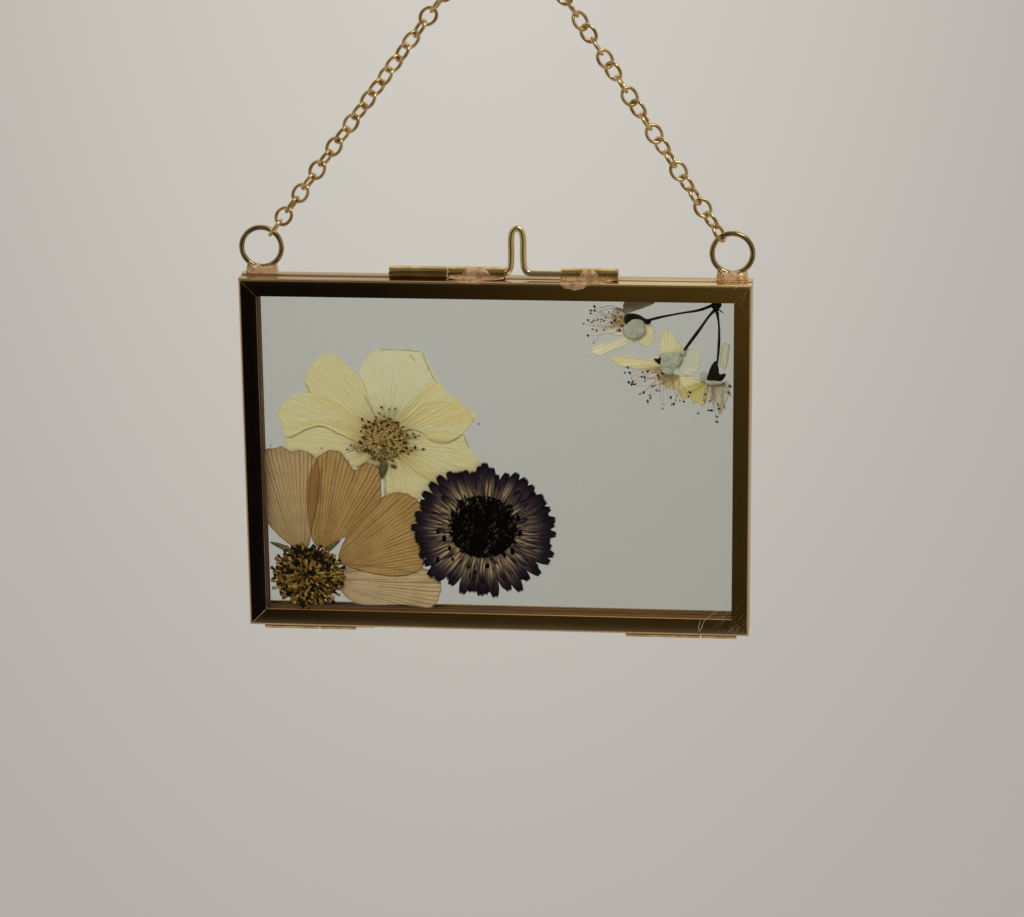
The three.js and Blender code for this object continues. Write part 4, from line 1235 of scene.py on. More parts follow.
def stamen_paths(roots_and_tips, rng, bow, height):
    """Bowed filaments from each root to its tip, as vertices, edges, thickness and tip marks."""
    vertices, edges, thick, tips = [], [], [], []
    for root, tip in roots_and_tips:
        root, tip = np.array(root, float), np.array(tip, float)
        side = np.array([-(tip - root)[1], (tip - root)[0]]) * rng.uniform(-bow, bow)
        lift = rng.uniform(height[0], height[1])
        first = len(vertices)
        steps = 7
        for k in range(steps):
            t = k / (steps - 1)
            x, y = root + (tip - root) * t + side * 4 * t * (1 - t)
            vertices.append((x, y, height[0] + (lift - height[0]) * math.sin(t * math.pi * 0.6)))
            thick.append(1.25 - 0.55 * t)
            tips.append(1.0 if k == steps - 1 else 0.0)
        edges += [(first + k, first + k + 1) for k in range(steps - 1)]
    return vertices, edges, thick, tips


def add_stamens(name, pairs, depth, filament, anther, finish, tree, seed, bow=0.12, height=(0.0, 0.3),
        tone=0.75):
    rng = np.random.default_rng(seed)
    vertices, edges, thick, tips = stamen_paths(pairs, rng, bow, height)
    obj = new_piece(name, vertices, [], edges=edges)
    write_attribute(obj, "thick", thick)
    write_attribute(obj, "tip", tips)
    grow(obj, tree,
        {"Filament": filament, "Filament Tone": tone, "Anther": anther, "Seed": seed, "Finish": finish})
    return stand(obj, depth)


CREAM_ANTHERS = [
    (-31.2, 0.5), (-29.7, 0.9), (-28.6, 2.3), (-27.6, 3.2), (-30.4, 1.4), (-29.1, 0.1), (-28.3, 0.5),
    (-27.9, 7.1), (-27.9, 5.3), (-28.2, 4.5), (-23.8, 9.8), (-24.3, 8.5), (-22.2, 9.4), (-20.9, 9.6),
    (-24.9, 7.6), (-22.4, 7.4), (-21.8, 7.4), (-20.3, 6.6), (-19.3, 5.7), (-19.8, 4.2), (-17.2, 4.2),
    (-16.0, 3.8), (-16.8, 3.4), (-23.3, 7.8), (-18.6, 0.9), (-17.7, 0.5), (-16.9, 1.2), (-18.4, -0.2),
    (-19.4, 0.3), (-15.2, 0.8), (-25.0, -3.1),
]


# Small leaves and scraps by the boss: name, finish and outline.
CREAM_SCRAPS = [
    ("sepal", "sepal", [(-24.2, -2.2), (-22.8, -2.5), (-23.0, -4.0), (-23.9, -5.6), (-24.5, -4.0)]),
    ("green_scrap", "sepal", [(-22.2, -3.1), (-21.3, -3.6), (-20.9, -3.1), (-21.8, -2.6)]),
    ("orange_scrap", "pad", [(-30.3, -3.9), (-29.4, -4.3), (-30.1, -5.7), (-30.5, -4.8)]),
    ("pistil", "sepal",
        [(-24.2, 0.6), (-23.6, 1.2), (-22.9, 0.8), (-22.9, 0.0), (-23.5, -0.4), (-24.2, -0.1)]),
]


def add_cream_boss(finishes, tree, grains, grain_part):
    """The boss: a dense knot of stamens round the middle and looser ones out to the far anthers."""
    pad = leaf_sheet("cream_boss_pad", oval(CREAM_ROOT[0], CREAM_ROOT[1] + 0.2, 4.4, 4.1), -1.5,
        finishes["pad"])
    give(pad, "back_half", "cream_stamen")
    for name, look, points in CREAM_SCRAPS:
        depth = -1.78 if name == "pistil" else -1.52
        give(leaf_sheet(f"cream_{name}", points, depth, finishes[look]), "back_half", "cream_stamen")
    rng = np.random.default_rng(SEED + 11)
    pairs = []
    for tip in CREAM_ANTHERS:
        away = Vector(tip) - Vector(CREAM_ROOT)
        root = Vector(CREAM_ROOT) + away.normalized() * min(1.6, away.length * 0.3)
        pairs.append((root, tip))
    for _ in range(110):
        turn, reach = rng.uniform(0, math.tau), 1.2 + 3.9 * math.sqrt(rng.uniform(0, 1))
        tip = (CREAM_ROOT[0] + reach * math.cos(turn), CREAM_ROOT[1] + 0.4 + reach * 0.95 * math.sin(turn))
        root = (CREAM_ROOT[0] + reach * 0.35 * math.cos(turn),
            CREAM_ROOT[1] + reach * 0.35 * math.sin(turn))
        pairs.append((root, tip))
    boss = add_stamens("cream_stamen_boss", pairs, -1.6, 0.095, 0.33, finishes["boss"], tree, SEED + 12)
    give(boss, "back_half", "cream_stamen", "cream_stamens")
    spots, sizes, tones = [], [], []
    for _ in range(420):
        turn, reach = rng.uniform(0, math.tau), 4.6 * rng.uniform(0, 1) ** 0.6
        spots.append((CREAM_ROOT[0] + reach * math.cos(turn), CREAM_ROOT[1] + 0.2 + reach * math.sin(turn),
            rng.uniform(0.0, 0.25)))
        sizes.append(rng.uniform(0.5, 1.1))
        tones.append(rng.uniform(-0.2, 1.0))
    add_scatter("cream_boss_grains", spots, sizes, tones, grains, grain_part, finishes["boss"], -1.62, 0.3,
        "cream_stamen", SEED + 13)


# --- scattered parts


def add_scatter(name, spots, sizes, tones, tree, part, finish, depth, size, slot, seed, ways=None,
        tilts=None, lean=0.6, spread=0.25, nodes=()):
    """Small parts set out at the spots. ways are the directions that they point in, in the plane."""
    obj = new_piece(name, spots, [])
    count = len(spots)
    ways = np.tile([0.0, 1.0], (count, 1)) if ways is None else np.asarray(ways, float)
    write_attribute(obj, "size", sizes)
    write_attribute(obj, "tone_at", tones)
    write_attribute(obj, "way_x", ways[:, 0])
    write_attribute(obj, "way_y", ways[:, 1])
    write_attribute(obj, "tilt", np.zeros(count) if tilts is None else tilts)
    grow(obj, tree,
        {"Part": part, "Size": size, "Spread": spread, "Lean": lean, "Seed": seed, "Finish": finish})
    give(stand(obj, depth), "back_half", slot, *nodes)
    return obj


def part_object(name, vertices, faces, attributes=None):
    """A small part that trees copy. It is removed when they have run."""
    obj = new_piece(name, vertices, faces)
    for key, values in (attributes or {}).items():
        write_attribute(obj, key, values)
    return obj


def grain_part():
    """A pinched bead about one unit across."""
    mesh = bmesh.new()
    bmesh.ops.create_icosphere(mesh, subdivisions=1, radius=0.5,
        matrix=Matrix.Diagonal((0.8, 1.25, 0.7, 1)))
    obj = new_piece("part_grain", [], [])
    mesh.to_mesh(obj.data)
    mesh.free()
    return obj


def disc_floret_part():
    """A tubular floret one unit long: a slim neck that opens in a lobed mouth."""
    sides, rows = 8, [(0.0, 0.10), (0.35, 0.12), (0.6, 0.18), (0.85, 0.24), (1.0, 0.27), (0.9, 0.12)]
    vertices = []
    for k, (y, r) in enumerate(rows):
        for i in range(sides):
            turn = math.tau * i / sides
            lobe = 0.22 if k == 4 and i % 2 == 0 else 0.0
            vertices.append((r * math.cos(turn), y + lobe, r * 0.75 * math.sin(turn)))
    faces = [(k * sides + i, k * sides + (i + 1) % sides, (k + 1) * sides + (i + 1) % sides,
        (k + 1) * sides + i) for k in range(len(rows) - 1) for i in range(sides)]
    faces += [tuple(range(sides)), tuple((len(rows) - 1) * sides + i for i in range(sides))]
    obj = part_object("part_disc_floret", vertices, faces)
    face_outwards(obj)
    return obj


def strap_floret_part(name, notch, hollow, width):
    """A strap-shaped ray floret one unit long: spoon-ended, hollow along its middle, faintly toothed."""
    lengths = (0.0, 0.14, 0.28, 0.42, 0.56, 0.67, 0.77, 0.85, 0.91, 0.96, 1.0)
    rows, cols = len(lengths), 7
    vertices, along, across = [], [], []
    for back in (0, 1):
        for r, t in enumerate(lengths):
            spread = 0.28 + 0.72 * math.sin(min(1.0, t * 1.25) * math.pi / 2)
            half = width * spread * math.sqrt(max(0.0, 1 - (max(0.0, t - 0.66) / 0.36) ** 2))
            for c in range(cols):
                s = 2 * c / (cols - 1) - 1
                y = t - (notch * (0.5 + 0.5 * math.cos(s * math.pi * 3)) if r >= rows - 2 else 0.0)
                z = hollow * s * s * (0.5 + t) + 0.02 * math.sin(t * math.pi) - back * 0.02
                vertices.append((half * s, y, z))
                along.append(t)
                across.append(s)
    size = rows * cols
    faces = []
    for r in range(rows - 1):
        for c in range(cols - 1):
            a = r * cols + c
            faces.append((a, a + 1, a + cols + 1, a + cols))
            faces.append((size + a + cols, size + a + cols + 1, size + a + 1, size + a))
    rim = [c for c in range(cols)] + [r * cols + cols - 1 for r in range(1, rows)]
    rim += [(rows - 1) * cols + c for c in range(cols - 2, -1, -1)] + [r * cols for r in range(rows - 2, 0,
        -1)]
    for a, b in zip(rim, rim[1:] + rim[:1]):
        faces.append((b, a, size + a, size + b))
    obj = part_object(name, vertices, faces, {"along": along, "across": across})
    face_outwards(obj)
    return obj


# --- cosmos disc

DISC = {"x": -40.2, "y": -27.5, "rx": 6.7, "ry": 6.2}
DISC_SHADOWS = [(-43.4, -22.8), (-42.0, -23.4), (-39.8, -22.7), (-38.1, -23.8), (-36.9, -25.5),
    (-44.2, -25.7)]
COSMOS_SEPALS = [[(-48.2, -20.2), (-46.2, -20.4), (-44.0, -21.4), (-44.6, -22.2), (-46.4, -21.4)],
    [(-36.4, -21.4), (-34.8, -20.2), (-33.0, -19.4), (-34.2, -20.9), (-35.6, -22.0)]]


def add_cosmos_disc(tree, floret, grain, finish, base_finish, sepal_finish):
    """A flattened mound of disc florets in a spiral, ragged at its rim, with dark anthers among them."""
    base = leaf_sheet("cosmos_disc_base", oval(DISC["x"], DISC["y"], 6.6, 6.1), -2.2, base_finish, 0.14)
    give(base, "back_half", "cosmos_floret")
    rng = np.random.default_rng(SEED + 21)
    spots, sizes, tones, ways, tilts = [], [], [], [], []
    count = 430
    for k in range(count):
        reach = math.sqrt((k + 0.5) / count)
        turn = k * GOLDEN_TURN
        x = DISC["x"] + DISC["rx"] * reach * math.cos(turn)
        y = DISC["y"] + DISC["ry"] * reach * math.sin(turn)
        shadow = sum(math.exp(-((x - a) ** 2 + (y - b) ** 2) / 0.9) for a, b in DISC_SHADOWS)
        spots.append((x, y, 0.16 + 0.14 * (1 - reach ** 2)))
        sizes.append(rng.uniform(0.6, 1.0))
        tones.append(rng.uniform(-0.05, 0.95) - 0.8 * min(1.0, shadow))
        ways.append((math.cos(turn) + rng.uniform(-0.7, 0.7), math.sin(turn) + rng.uniform(-0.7, 0.7)))
        tilts.append(0.14 * (1 - reach))
    add_scatter("cosmos_disc_florets", spots, sizes, tones, tree, floret, finish, -2.16, 1.5,
        "cosmos_floret", SEED + 22, ways, tilts, 0.1, 0.2, ["cosmos_disc"])
    spots = []
    for _ in range(300):
        reach, turn = math.sqrt(rng.uniform(0, 1)), rng.uniform(0, math.tau)
        spots.append((DISC["x"] + 6.8 * reach * math.cos(turn), DISC["y"] + 6.3 * reach * math.sin(turn),
            0.2 + 0.2 * (1 - reach ** 2)))
    tones = rng.uniform(-0.2, 0.3, len(spots))
    add_scatter("cosmos_disc_anthers", spots, rng.uniform(0.6, 1.3, len(spots)), tones, tree, grain, finish,
        -2.16, 0.5, "cosmos_floret", SEED + 23, lean=1.2)
    for k, points in enumerate(COSMOS_SEPALS):
        leaf = leaf_sheet(f"cosmos_sepal_{k + 1}", points, -2.2, sepal_finish, 0.08)
        give(leaf, "back_half", "sprig_stem")


# --- dark daisy

DAISY = {"x": -2.65, "y": -16.8, "rx": 16.0, "ry": 13.9}
DAISY_HEART = {"x": -2.9, "y": -15.7, "rx": 7.3, "ry": 6.9}
DAISY_RINGS = [
    # florets, root and tip as shares of the radius, depth of the root, tilt, tone
    (43, 0.36, 1.02, 0.00, 0.00, 0.45),
    (40, 0.36, 0.96, 0.05, 0.00, 0.60),
    (33, 0.36, 0.81, 0.00, 0.00, 0.75),
    (27, 0.36, 0.64, 0.06, 0.02, 0.05),
]
DAISY_BEADS = [(-12.3, -16.9), (-11.0, -18.4), (-9.9, -20.6), (-12.4, -23.2), (-9.3, -23.0), (-4.7, -25.8),
    (-2.0, -24.4), (4.6, -13.6), (5.0, -17.0), (3.4, -21.0)]


def add_daisy_ring(name, rings, depth, tree, part, finish, seed, nodes):
    rng = np.random.default_rng(seed)
    spots, sizes, tones, ways, tilts = [], [], [], [], []
    for count, root, tip, height, tilt, tone in rings:
        for k in range(count):
            turn = math.tau * (k + 0.5 * (count % 2)) / count + rng.uniform(-0.05, 0.05)
            way = np.array([math.cos(turn), math.sin(turn)])
            length = (tip - root) * rng.uniform(0.9, 1.02)
            spots.append((DAISY["x"] + DAISY["rx"] * root * way[0],
                DAISY["y"] + DAISY["ry"] * root * way[1], height + rng.uniform(0.0, 0.06)))
            sizes.append(length * (DAISY["rx"] + DAISY["ry"]) / 2)
            tones.append(tone + 0.35 * math.cos(turn - math.radians(215)))
            ways.append(way + rng.uniform(-0.09, 0.09, 2))
            tilts.append(tilt * rng.uniform(0.7, 1.3))
    add_scatter(name, spots, sizes, tones, tree, part, finish, depth, 1.0, "dark_floret", seed, ways, tilts,
        0.04, 0.05, nodes)


def add_daisy(tree, outer_part, inner_part, grain, finish, grain_look):
    """Rings of dark ray florets round a black, crumpled heart."""
    add_daisy_ring("dark_daisy_outer_rays", DAISY_RINGS[:2], -2.29, tree, outer_part, finish, SEED + 31,
        ["dark_daisy_outer_florets"])
    add_daisy_ring("dark_daisy_inner_rays", DAISY_RINGS[2:], -2.38, tree, inner_part, finish, SEED + 32,
        ["dark_daisy_inner_florets"])
    heart = DAISY_HEART
    outline = oval(heart["x"], heart["y"], heart["rx"], heart["ry"])
    base = leaf_sheet("dark_daisy_base", outline, -2.54, grain_look, 0.05, tone=0.15)
    give(base, "back_half", "dark_floret")
    rng = np.random.default_rng(SEED + 33)
    spots, sizes = [], []
    count = 420
    for k in range(count):
        reach, turn = math.sqrt((k + 0.5) / count), k * GOLDEN_TURN
        spots.append((heart["x"] + heart["rx"] * reach * math.cos(turn),
            heart["y"] + heart["ry"] * reach * math.sin(turn), rng.uniform(0.0, 0.1)))
        sizes.append(rng.uniform(0.6, 1.2))
    add_scatter("dark_daisy_heart", spots, sizes, rng.uniform(-0.4, 0.6, count), tree, grain, grain_look,
        -2.58, 0.62, "dark_floret", SEED + 34, lean=1.3, nodes=["dark_daisy_head"])
    spots, ways = [], []
    for k in range(90):
        reach, turn = math.sqrt((k + 0.5) / 90), k * GOLDEN_TURN + 1.0
        spots.append((heart["x"] + 6.2 * reach * math.cos(turn), heart["y"] + 5.8 * reach * math.sin(turn),
            0.0))
        ways.append((math.cos(turn + rng.uniform(-1.2, 1.2)), math.sin(turn + rng.uniform(-1.2, 1.2))))
    add_scatter("dark_daisy_curls", spots, rng.uniform(0.7, 1.2, 90), rng.uniform(-0.7, 0.8, 90), tree,
        inner_part, grain_look, -2.58, 2.3, "dark_floret", SEED + 36, ways, np.full(90, 0.03), 0.06, 0.2)
    spots = [(x, y, 0.0) for x, y in DAISY_BEADS]
    add_scatter("dark_daisy_beads", spots, np.full(len(spots), 1.0), np.full(len(spots), -0.2), tree, grain,
        grain_look, -2.52, 1.3, "dark_floret", SEED + 35, lean=0.2)


# --- sprig

STEM_POINTS = [
    (0.25, [(45.6, 33.1), (42.4, 31.8), (38.3, 31.0), (34.2, 30.1), (31.0, 29.2)]),
    (0.30, [(45.9, 32.2), (44.5, 30.8), (42.1, 27.3), (39.2, 23.2)]),
    (0.25, [(45.9, 31.4), (46.3, 28.6), (46.3, 24.3), (46.0, 20.4)]),
]
BLOSSOM_ANTHERS = [
    [(20.0, 31.3), (20.0, 30.7), (20.8, 31.3), (20.8, 32.2), (23.7, 31.0), (23.1, 29.9), (25.1, 30.1),
        (25.5, 31.0), (26.2, 30.1), (22.2, 29.4), (20.6, 29.2), (19.4, 29.2), (20.2, 28.8), (18.5, 28.5),
        (22.0, 29.0), (22.7, 29.2), (24.3, 28.8), (24.9, 29.3), (25.7, 29.1), (20.6, 28.1), (20.4, 27.3),
        (21.2, 27.1), (22.7, 27.3), (23.1, 27.8), (25.3, 27.2), (25.9, 27.2), (19.4, 26.0), (20.6, 24.5),
        (21.4, 29.4), (26.4, 28.2)],
    [(27.0, 18.2), (27.6, 19.3), (28.0, 18.2), (28.4, 17.0), (27.8, 16.1), (28.4, 15.7), (29.0, 15.7),
        (28.6, 16.3), (30.5, 17.4), (31.1, 17.2), (30.7, 18.3), (31.1, 16.4), (31.7, 18.5), (32.7, 18.3),
        (33.4, 18.3), (33.8, 17.7), (34.0, 17.1), (30.1, 13.6), (30.9, 14.0), (32.1, 13.4), (32.3, 12.9),
        (31.7, 12.1), (32.7, 15.3), (33.2, 15.5), (33.6, 14.5), (34.2, 14.3), (34.8, 10.6), (35.0, 11.5),
        (36.7, 11.5), (36.5, 13.0), (37.1, 11.7), (37.7, 13.3), (37.5, 12.4), (38.3, 12.4), (39.2, 12.2),
        (40.2, 13.3), (34.8, 18.1), (35.4, 17.5)],
    [(42.1, 9.7), (44.5, 12.3), (44.9, 12.5), (45.3, 11.9), (44.3, 10.4), (44.9, 10.4), (46.0, 9.1),
        (46.0, 8.0), (46.2, 11.7), (46.4, 10.8), (47.4, 11.3), (43.3, 12.5), (48.6, 15.6), (48.3, 14.3),
        (40.4, 14.2), (43.5, 13.8)],
]
BLOSSOM_ROOTS = [((28.0, 30.0), (28.0, 27.6)), ((33.8, 19.6), (38.4, 17.6)), ((43.8, 16.6), (46.6, 16.6))]
BLOSSOM_PETALS = {
    # blossom: petal: depth, where its fibres start, finish
    1: {"side": (-1.32, (28.4, 30.5), "petal"), "long": (-1.49, (31.0, 27.5), "pale_petal")},
    2: {"top": (-1.32, (36.0, 18.5), "petal"), "lower": (-1.33, (34.0, 17.0), "petal"),
        "left": (-1.49, (38.0, 20.0), "petal"), "right": (-1.50, (36.0, 20.0), "ghost_petal")},
    3: {"upper": (-1.32, (46.8, 15.0), "pale_petal"), "right": (-1.33, (45.0, 19.0), "ghost_petal"),
        "left": (-1.49, (44.0, 19.0), "yellow_petal")},
}


def add_sprig(finishes, wires, stamens):
    for k, (radius, points) in enumerate(STEM_POINTS):
        route = smooth_path([(x, -1.8, z) for x, z in points], 8)
        thick = 1 + 0.18 * np.sin(np.linspace(0, 9, len(route)) + k) + 0.35 * np.exp(-np.linspace(0, 9,
            len(route)))
        stem = add_wire(f"dry_stem_{k + 1}", route, radius, 12, finishes["stem"], wires, thick)
        give(place(stem, FLOWERS_AT), "back_half", "sprig_stem", f"sprig_stem_{k + 1}")
    mesh = lump([Vector((45.4, -1.8, 32.8)), Vector((46.1, -1.8, 32.9)), Vector((45.7, -1.8, 32.1))],
        [0.8, 0.75, 0.7], (1, 0.6, 1))
    bud = new_piece("sprig_bud", [], [], finishes["stem"])
    mesh.to_mesh(bud.data)
    mesh.free()
    give(place(smooth_shade(melt(bud, 0.12, 2)), FLOWERS_AT), "back_half", "sprig_stem")
    for name, points in BLOSSOM_ARCS.items():
        arc = add_wire(name, smooth_path([(x, -1.62, z) for x, z in points], 6), 0.05, 6, finishes["arc"],
            wires)
        give(place(arc, FLOWERS_AT), "back_half", "blossom_stamen")
    twig = add_wire("sprig_twig", [(46.0, -1.8, 32.0), (46.6, -1.85, 31.7), (47.2, -1.8, 31.2)], 0.14, 8,
        finishes["stem"], wires, [1.4, 1.0, 0.5])
    give(place(twig, FLOWERS_AT), "back_half", "sprig_stem")
    for number, petals in BLOSSOM_PETALS.items():
        for name, (depth, root, look) in petals.items():
            node = f"sprig_blossom_{number}_petal_{name}"
            piece = petal_sheet(f"pressed_{node}", node, depth, root, finishes[look], spacing=0.33,
                wave=0.05, cup=0.12, rim_ruffle=0.9, curl=0.04)
            give(piece, "back_half", "blossom_petal", node)
    rng = np.random.default_rng(SEED + 41)
    for k, tips in enumerate(BLOSSOM_ANTHERS):
        low, high = (np.array(p) for p in BLOSSOM_ROOTS[k])
        pairs = [(low + (high - low) * rng.uniform(0, 1), tip) for tip in tips]
        node = f"sprig_blossom_{k + 1}_stamens"
        piece = add_stamens(f"fine_{node}", pairs, -1.6, 0.045, 0.3, finishes["stamen"], stamens,
            SEED + 42 + k, tone=0.6)
        give(piece, "back_half", "blossom_stamen", node)
    add_calyxes(finishes)


BLOSSOM_ARCS = {"blossom_arc_upper": [(21.8, 31.8), (23.9, 32.3), (27.0, 31.4)],
    "blossom_arc_lower": [(21.8, 31.1), (24.3, 31.8), (27.0, 31.0)]}
CALYX_PIECES = [
    # name, finish, depth, outline, the node it stands for
    ("calyx_1_cap", "stem", -1.98, [(27.0, 30.4), (28.4, 30.9), (30.0, 30.6), (31.2, 29.9), (32.4, 29.5),
        (32.4, 29.0), (31.2, 28.7), (30.6, 29.5), (28.6, 29.6), (27.2, 28.6)], "sprig_blossom_1_calyx"),
    ("calyx_1_cup", "cup", -1.9, [(26.8, 28.0), (27.4, 29.0), (28.8, 29.8), (30.6, 29.5), (31.0, 28.4),
        (31.2, 27.0), (30.0, 25.6), (28.2, 25.4), (26.8, 26.3)], None),
    ("calyx_1_bract", "bract", -2.2, [(27.0, 33.4), (27.0, 30.8), (28.8, 31.4), (31.0, 32.2), (33.2, 33.3)],
        None),
    ("blossom_1_back_petal", "peach", -1.4, [(23.8, 26.6), (25.0, 26.0), (26.8, 26.2), (27.4, 28.6),
        (27.0, 31.2), (25.4, 31.9), (24.2, 30.8), (24.6, 28.6)], None),
    ("calyx_2_cup", "cup", -1.9, [(34.3, 22.2), (36.2, 22.6), (38.2, 22.4), (38.8, 21.6), (38.4, 20.2),
        (37.4, 19.2), (36.4, 17.8), (35.0, 18.2), (34.2, 20.0)], "sprig_blossom_2_calyx"),
    ("calyx_2_joint", "cup", -2.0, [(38.3, 22.9), (38.9, 23.4), (39.5, 22.9), (39.3, 22.2), (38.6, 22.1)],
        None),
    ("calyx_2_tooth", "stem", -1.98, [(34.4, 22.0), (33.9, 21.4), (33.0, 21.4), (33.5, 20.6), (34.3, 20.2)],
        None),
    ("calyx_3_cap", "stem", -1.98, [(45.7, 21.1), (46.3, 19.6), (46.5, 18.3), (47.8, 18.4), (47.0, 16.9),
        (44.9, 16.8), (44.0, 17.0), (44.2, 18.4), (44.9, 20.2)], "sprig_blossom_3_calyx"),
    ("calyx_3_tooth", "cup", -1.9, [(43.0, 18.9), (43.8, 18.5), (44.0, 17.0), (43.0, 16.4), (42.5, 17.3)],
        None),
    ("calyx_3_skirt", "cup", -1.9, [(43.6, 16.9), (46.6, 16.9), (47.6, 16.3), (46.2, 15.9), (43.7, 16.0)],
        None),
]


def add_calyxes(finishes):
    for name, look, depth, points, node in CALYX_PIECES:
        piece = leaf_sheet(f"sprig_{name}", points, depth, finishes[look],
            0.22 if look in ("stem", "cup") else 0.06)
        give(piece, "back_half", "sprig_stem", *([node] if node else []))


# --- stray bits


def add_stray_bits(finishes, tree, scatter, grain):
    """Dust between the panes, a curl of lint on the bottom rail, and crumbs of flower."""
    lint = smooth_path([(42.7, -5.4, -34.5), (42.35, -5.41, -36.2), (42.5, -5.41, -36.8),
        (42.9, -5.41, -36.2), (43.6, -5.4, -34.5), (45.1, -5.39, -33.1), (46.4, -5.39, -32.0)], 6)
    hair = add_wire("lint_hair", lint, 0.03, 6, finishes["dust"], tree)
    give(place(hair), "front_half", "cream_petal")
    rng = np.random.default_rng(SEED + 51)
    spots = [(x, y, 0.0) for x, y in zip(rng.uniform(-46, 46, 46), rng.uniform(-31, 31, 46))]
    spots += [(2.6, -11.8, 0.0), (2.9, -11.6, 0.0), (7.2, -19.5, 0.0), (7.6, -19.5, 0.0), (0.9, -30.2, 0.0)]
    tones = np.concatenate([rng.uniform(0.0, 0.9, 46), [0.9, 0.9, 0.9, 0.9, 0.1]])
    add_scatter("glass_dust", spots, rng.uniform(0.4, 1.0, len(spots)), tones, scatter, grain,
        finishes["speck"], -2.70, 0.16, "cream_petal", SEED + 52, lean=1.5)
    crumbs = [(-36.7, 0.6, 0.0), (-47.5, 0.8, 0.0), (-3.5, 6.5, 0.0), (-47.3, 1.1, 0.0)]
    add_scatter("dark_crumbs", crumbs, [1.0, 0.8, 0.9, 0.6], [0.0, 0.0, 0.0, 0.0], scatter, grain,
        finishes["speck"], -1.6, 0.42, "cream_petal", SEED + 53, lean=1.0)


# --- studio


def add_backdrop():
    """A pale shell round the piece, with a floor and a soft cove, brightest behind the chain."""
    profile = [(0.0, -1.25), (0.9, -1.25), (1.35, -1.2), (1.7, -1.0), (1.9, -0.6), (2.0, 0.0), (1.95, 0.8),
        (1.6, 1.5), (0.9, 1.95), (0.0, 2.1)]
    sides = 64
    vertices, faces = [], []
    for r, z in profile:
        for k in range(sides):
            turn = math.tau * k / sides
            vertices.append((r * math.cos(turn), r * math.sin(turn), z))
    for row in range(len(profile) - 1):
        for k in range(sides):
            a, b = row * sides + k, row * sides + (k + 1) % sides
            faces.append((a, a + sides, b + sides, b))
    shell = new_piece("backdrop", vertices, faces)
    smooth_shade(shell)
    mat = bpy.data.materials.new("pale_backdrop")
    mat.use_nodes = True
    tree = mat.node_tree
    tree.nodes.clear()
    spot = put(tree, "ShaderNodeTexCoord").outputs["Object"]
    away = put(tree, "ShaderNodeVectorMath", {0: spot, 1: (-0.23, 1.95, -0.12)},
        operation="SUBTRACT").outputs[0]
    wide = put(tree, "ShaderNodeVectorMath", {0: away, 1: (1.25, 1.0, 0.62)},
        operation="MULTIPLY").outputs[0]
    distance = put(tree, "ShaderNodeVectorMath", {0: wide}, operation="LENGTH").outputs["Value"]
    near = ramp(tree, distance, 0.0, 0.85, 1.0, 0.0)
    colour = blend(tree, near, (0.432, 0.41, 0.375, 1), (0.65, 0.625, 0.567, 1))
    # The half in front of the piece stays out of the panes' inner reflections.
    mirrored = maths(tree, "GREATER_THAN", put(tree, "ShaderNodeLightPath").outputs["Glossy Depth"], 0.5)
    y = put(tree, "ShaderNodeSeparateXYZ", {0: spot}).outputs[1]
    hidden = times(tree, mirrored, ramp(tree, y, -0.6, 0.2, 1.0, 0.0))
    shown = maths(tree, "SUBTRACT", 1.0, hidden)
    glow = put(tree, "ShaderNodeEmission", {"Color": colour, "Strength": shown}).outputs[0]
    out = put(tree, "ShaderNodeOutputMaterial")
    tree.links.new(glow, out.inputs[0])
    shell.data.materials.append(mat)
    shell.visible_diffuse = False
    shell.visible_glossy = False
    shell.visible_shadow = False


def add_world():
    """A pale wall behind the piece and a dim room in front of it, a little lighter to the right."""
    world = bpy.data.worlds.new("studio")
    bpy.context.scene.world = world
    world.use_nodes = True
    tree = world.node_tree
    background = tree.nodes["Background"]
    way = put(tree, "ShaderNodeTexCoord").outputs["Generated"]
    x, y, z = put(tree, "ShaderNodeSeparateXYZ", {0: way}).outputs
    wall = blend(tree, ramp(tree, z, -0.6, 0.5), (0.36, 0.34, 0.30, 1), (0.68, 0.65, 0.58, 1))
    black = (0.002, 0.002, 0.003, 1)
    bottom = blend(tree, ramp(tree, x, -0.168, -0.14), black, (0.030, 0.025, 0.010, 1))
    top = blend(tree, ramp(tree, x, -0.15, -0.03), black, (0.066, 0.048, 0.013, 1))
    low = blend(tree, ramp(tree, z, -0.29, -0.245), bottom, top)
    room = blend(tree, ramp(tree, z, -0.14, 0.3), low, (0.13, 0.115, 0.08, 1))
    sides = maths(tree, "MAXIMUM", ramp(tree, x, 0.16, 0.5), ramp(tree, x, -0.8, -0.36, 1.0, 0.0))
    room = blend(tree, sides, room, (0.32, 0.28, 0.20, 1))
    under = ramp(tree, z, -0.7, -0.42, 1.0, 0.0)
    room = blend(tree, under, room, (0.36, 0.335, 0.29, 1))
    in_front = ramp(tree, y, -0.3, 0.25, 1.0, 0.0)
    tree.links.new(blend(tree, in_front, wall, room), background.inputs["Color"])
    background.inputs["Strength"].default_value = 1.0


def add_softbox(name, at, size, power, mirrored=True):
    light = bpy.data.lights.new(name, "AREA")
    light.shape = "RECTANGLE"
    light.size, light.size_y = size
    light.energy = power
    obj = bpy.data.objects.new(name, light)
    obj.location = at
    aim = Vector((0, 0, -0.1)) - Vector(at)
    obj.rotation_euler = aim.to_track_quat("-Z", "Y").to_euler()
    obj.visible_camera = False
    obj.visible_transmission = False
    obj.visible_glossy = mirrored
    bpy.context.scene.collection.objects.link(obj)


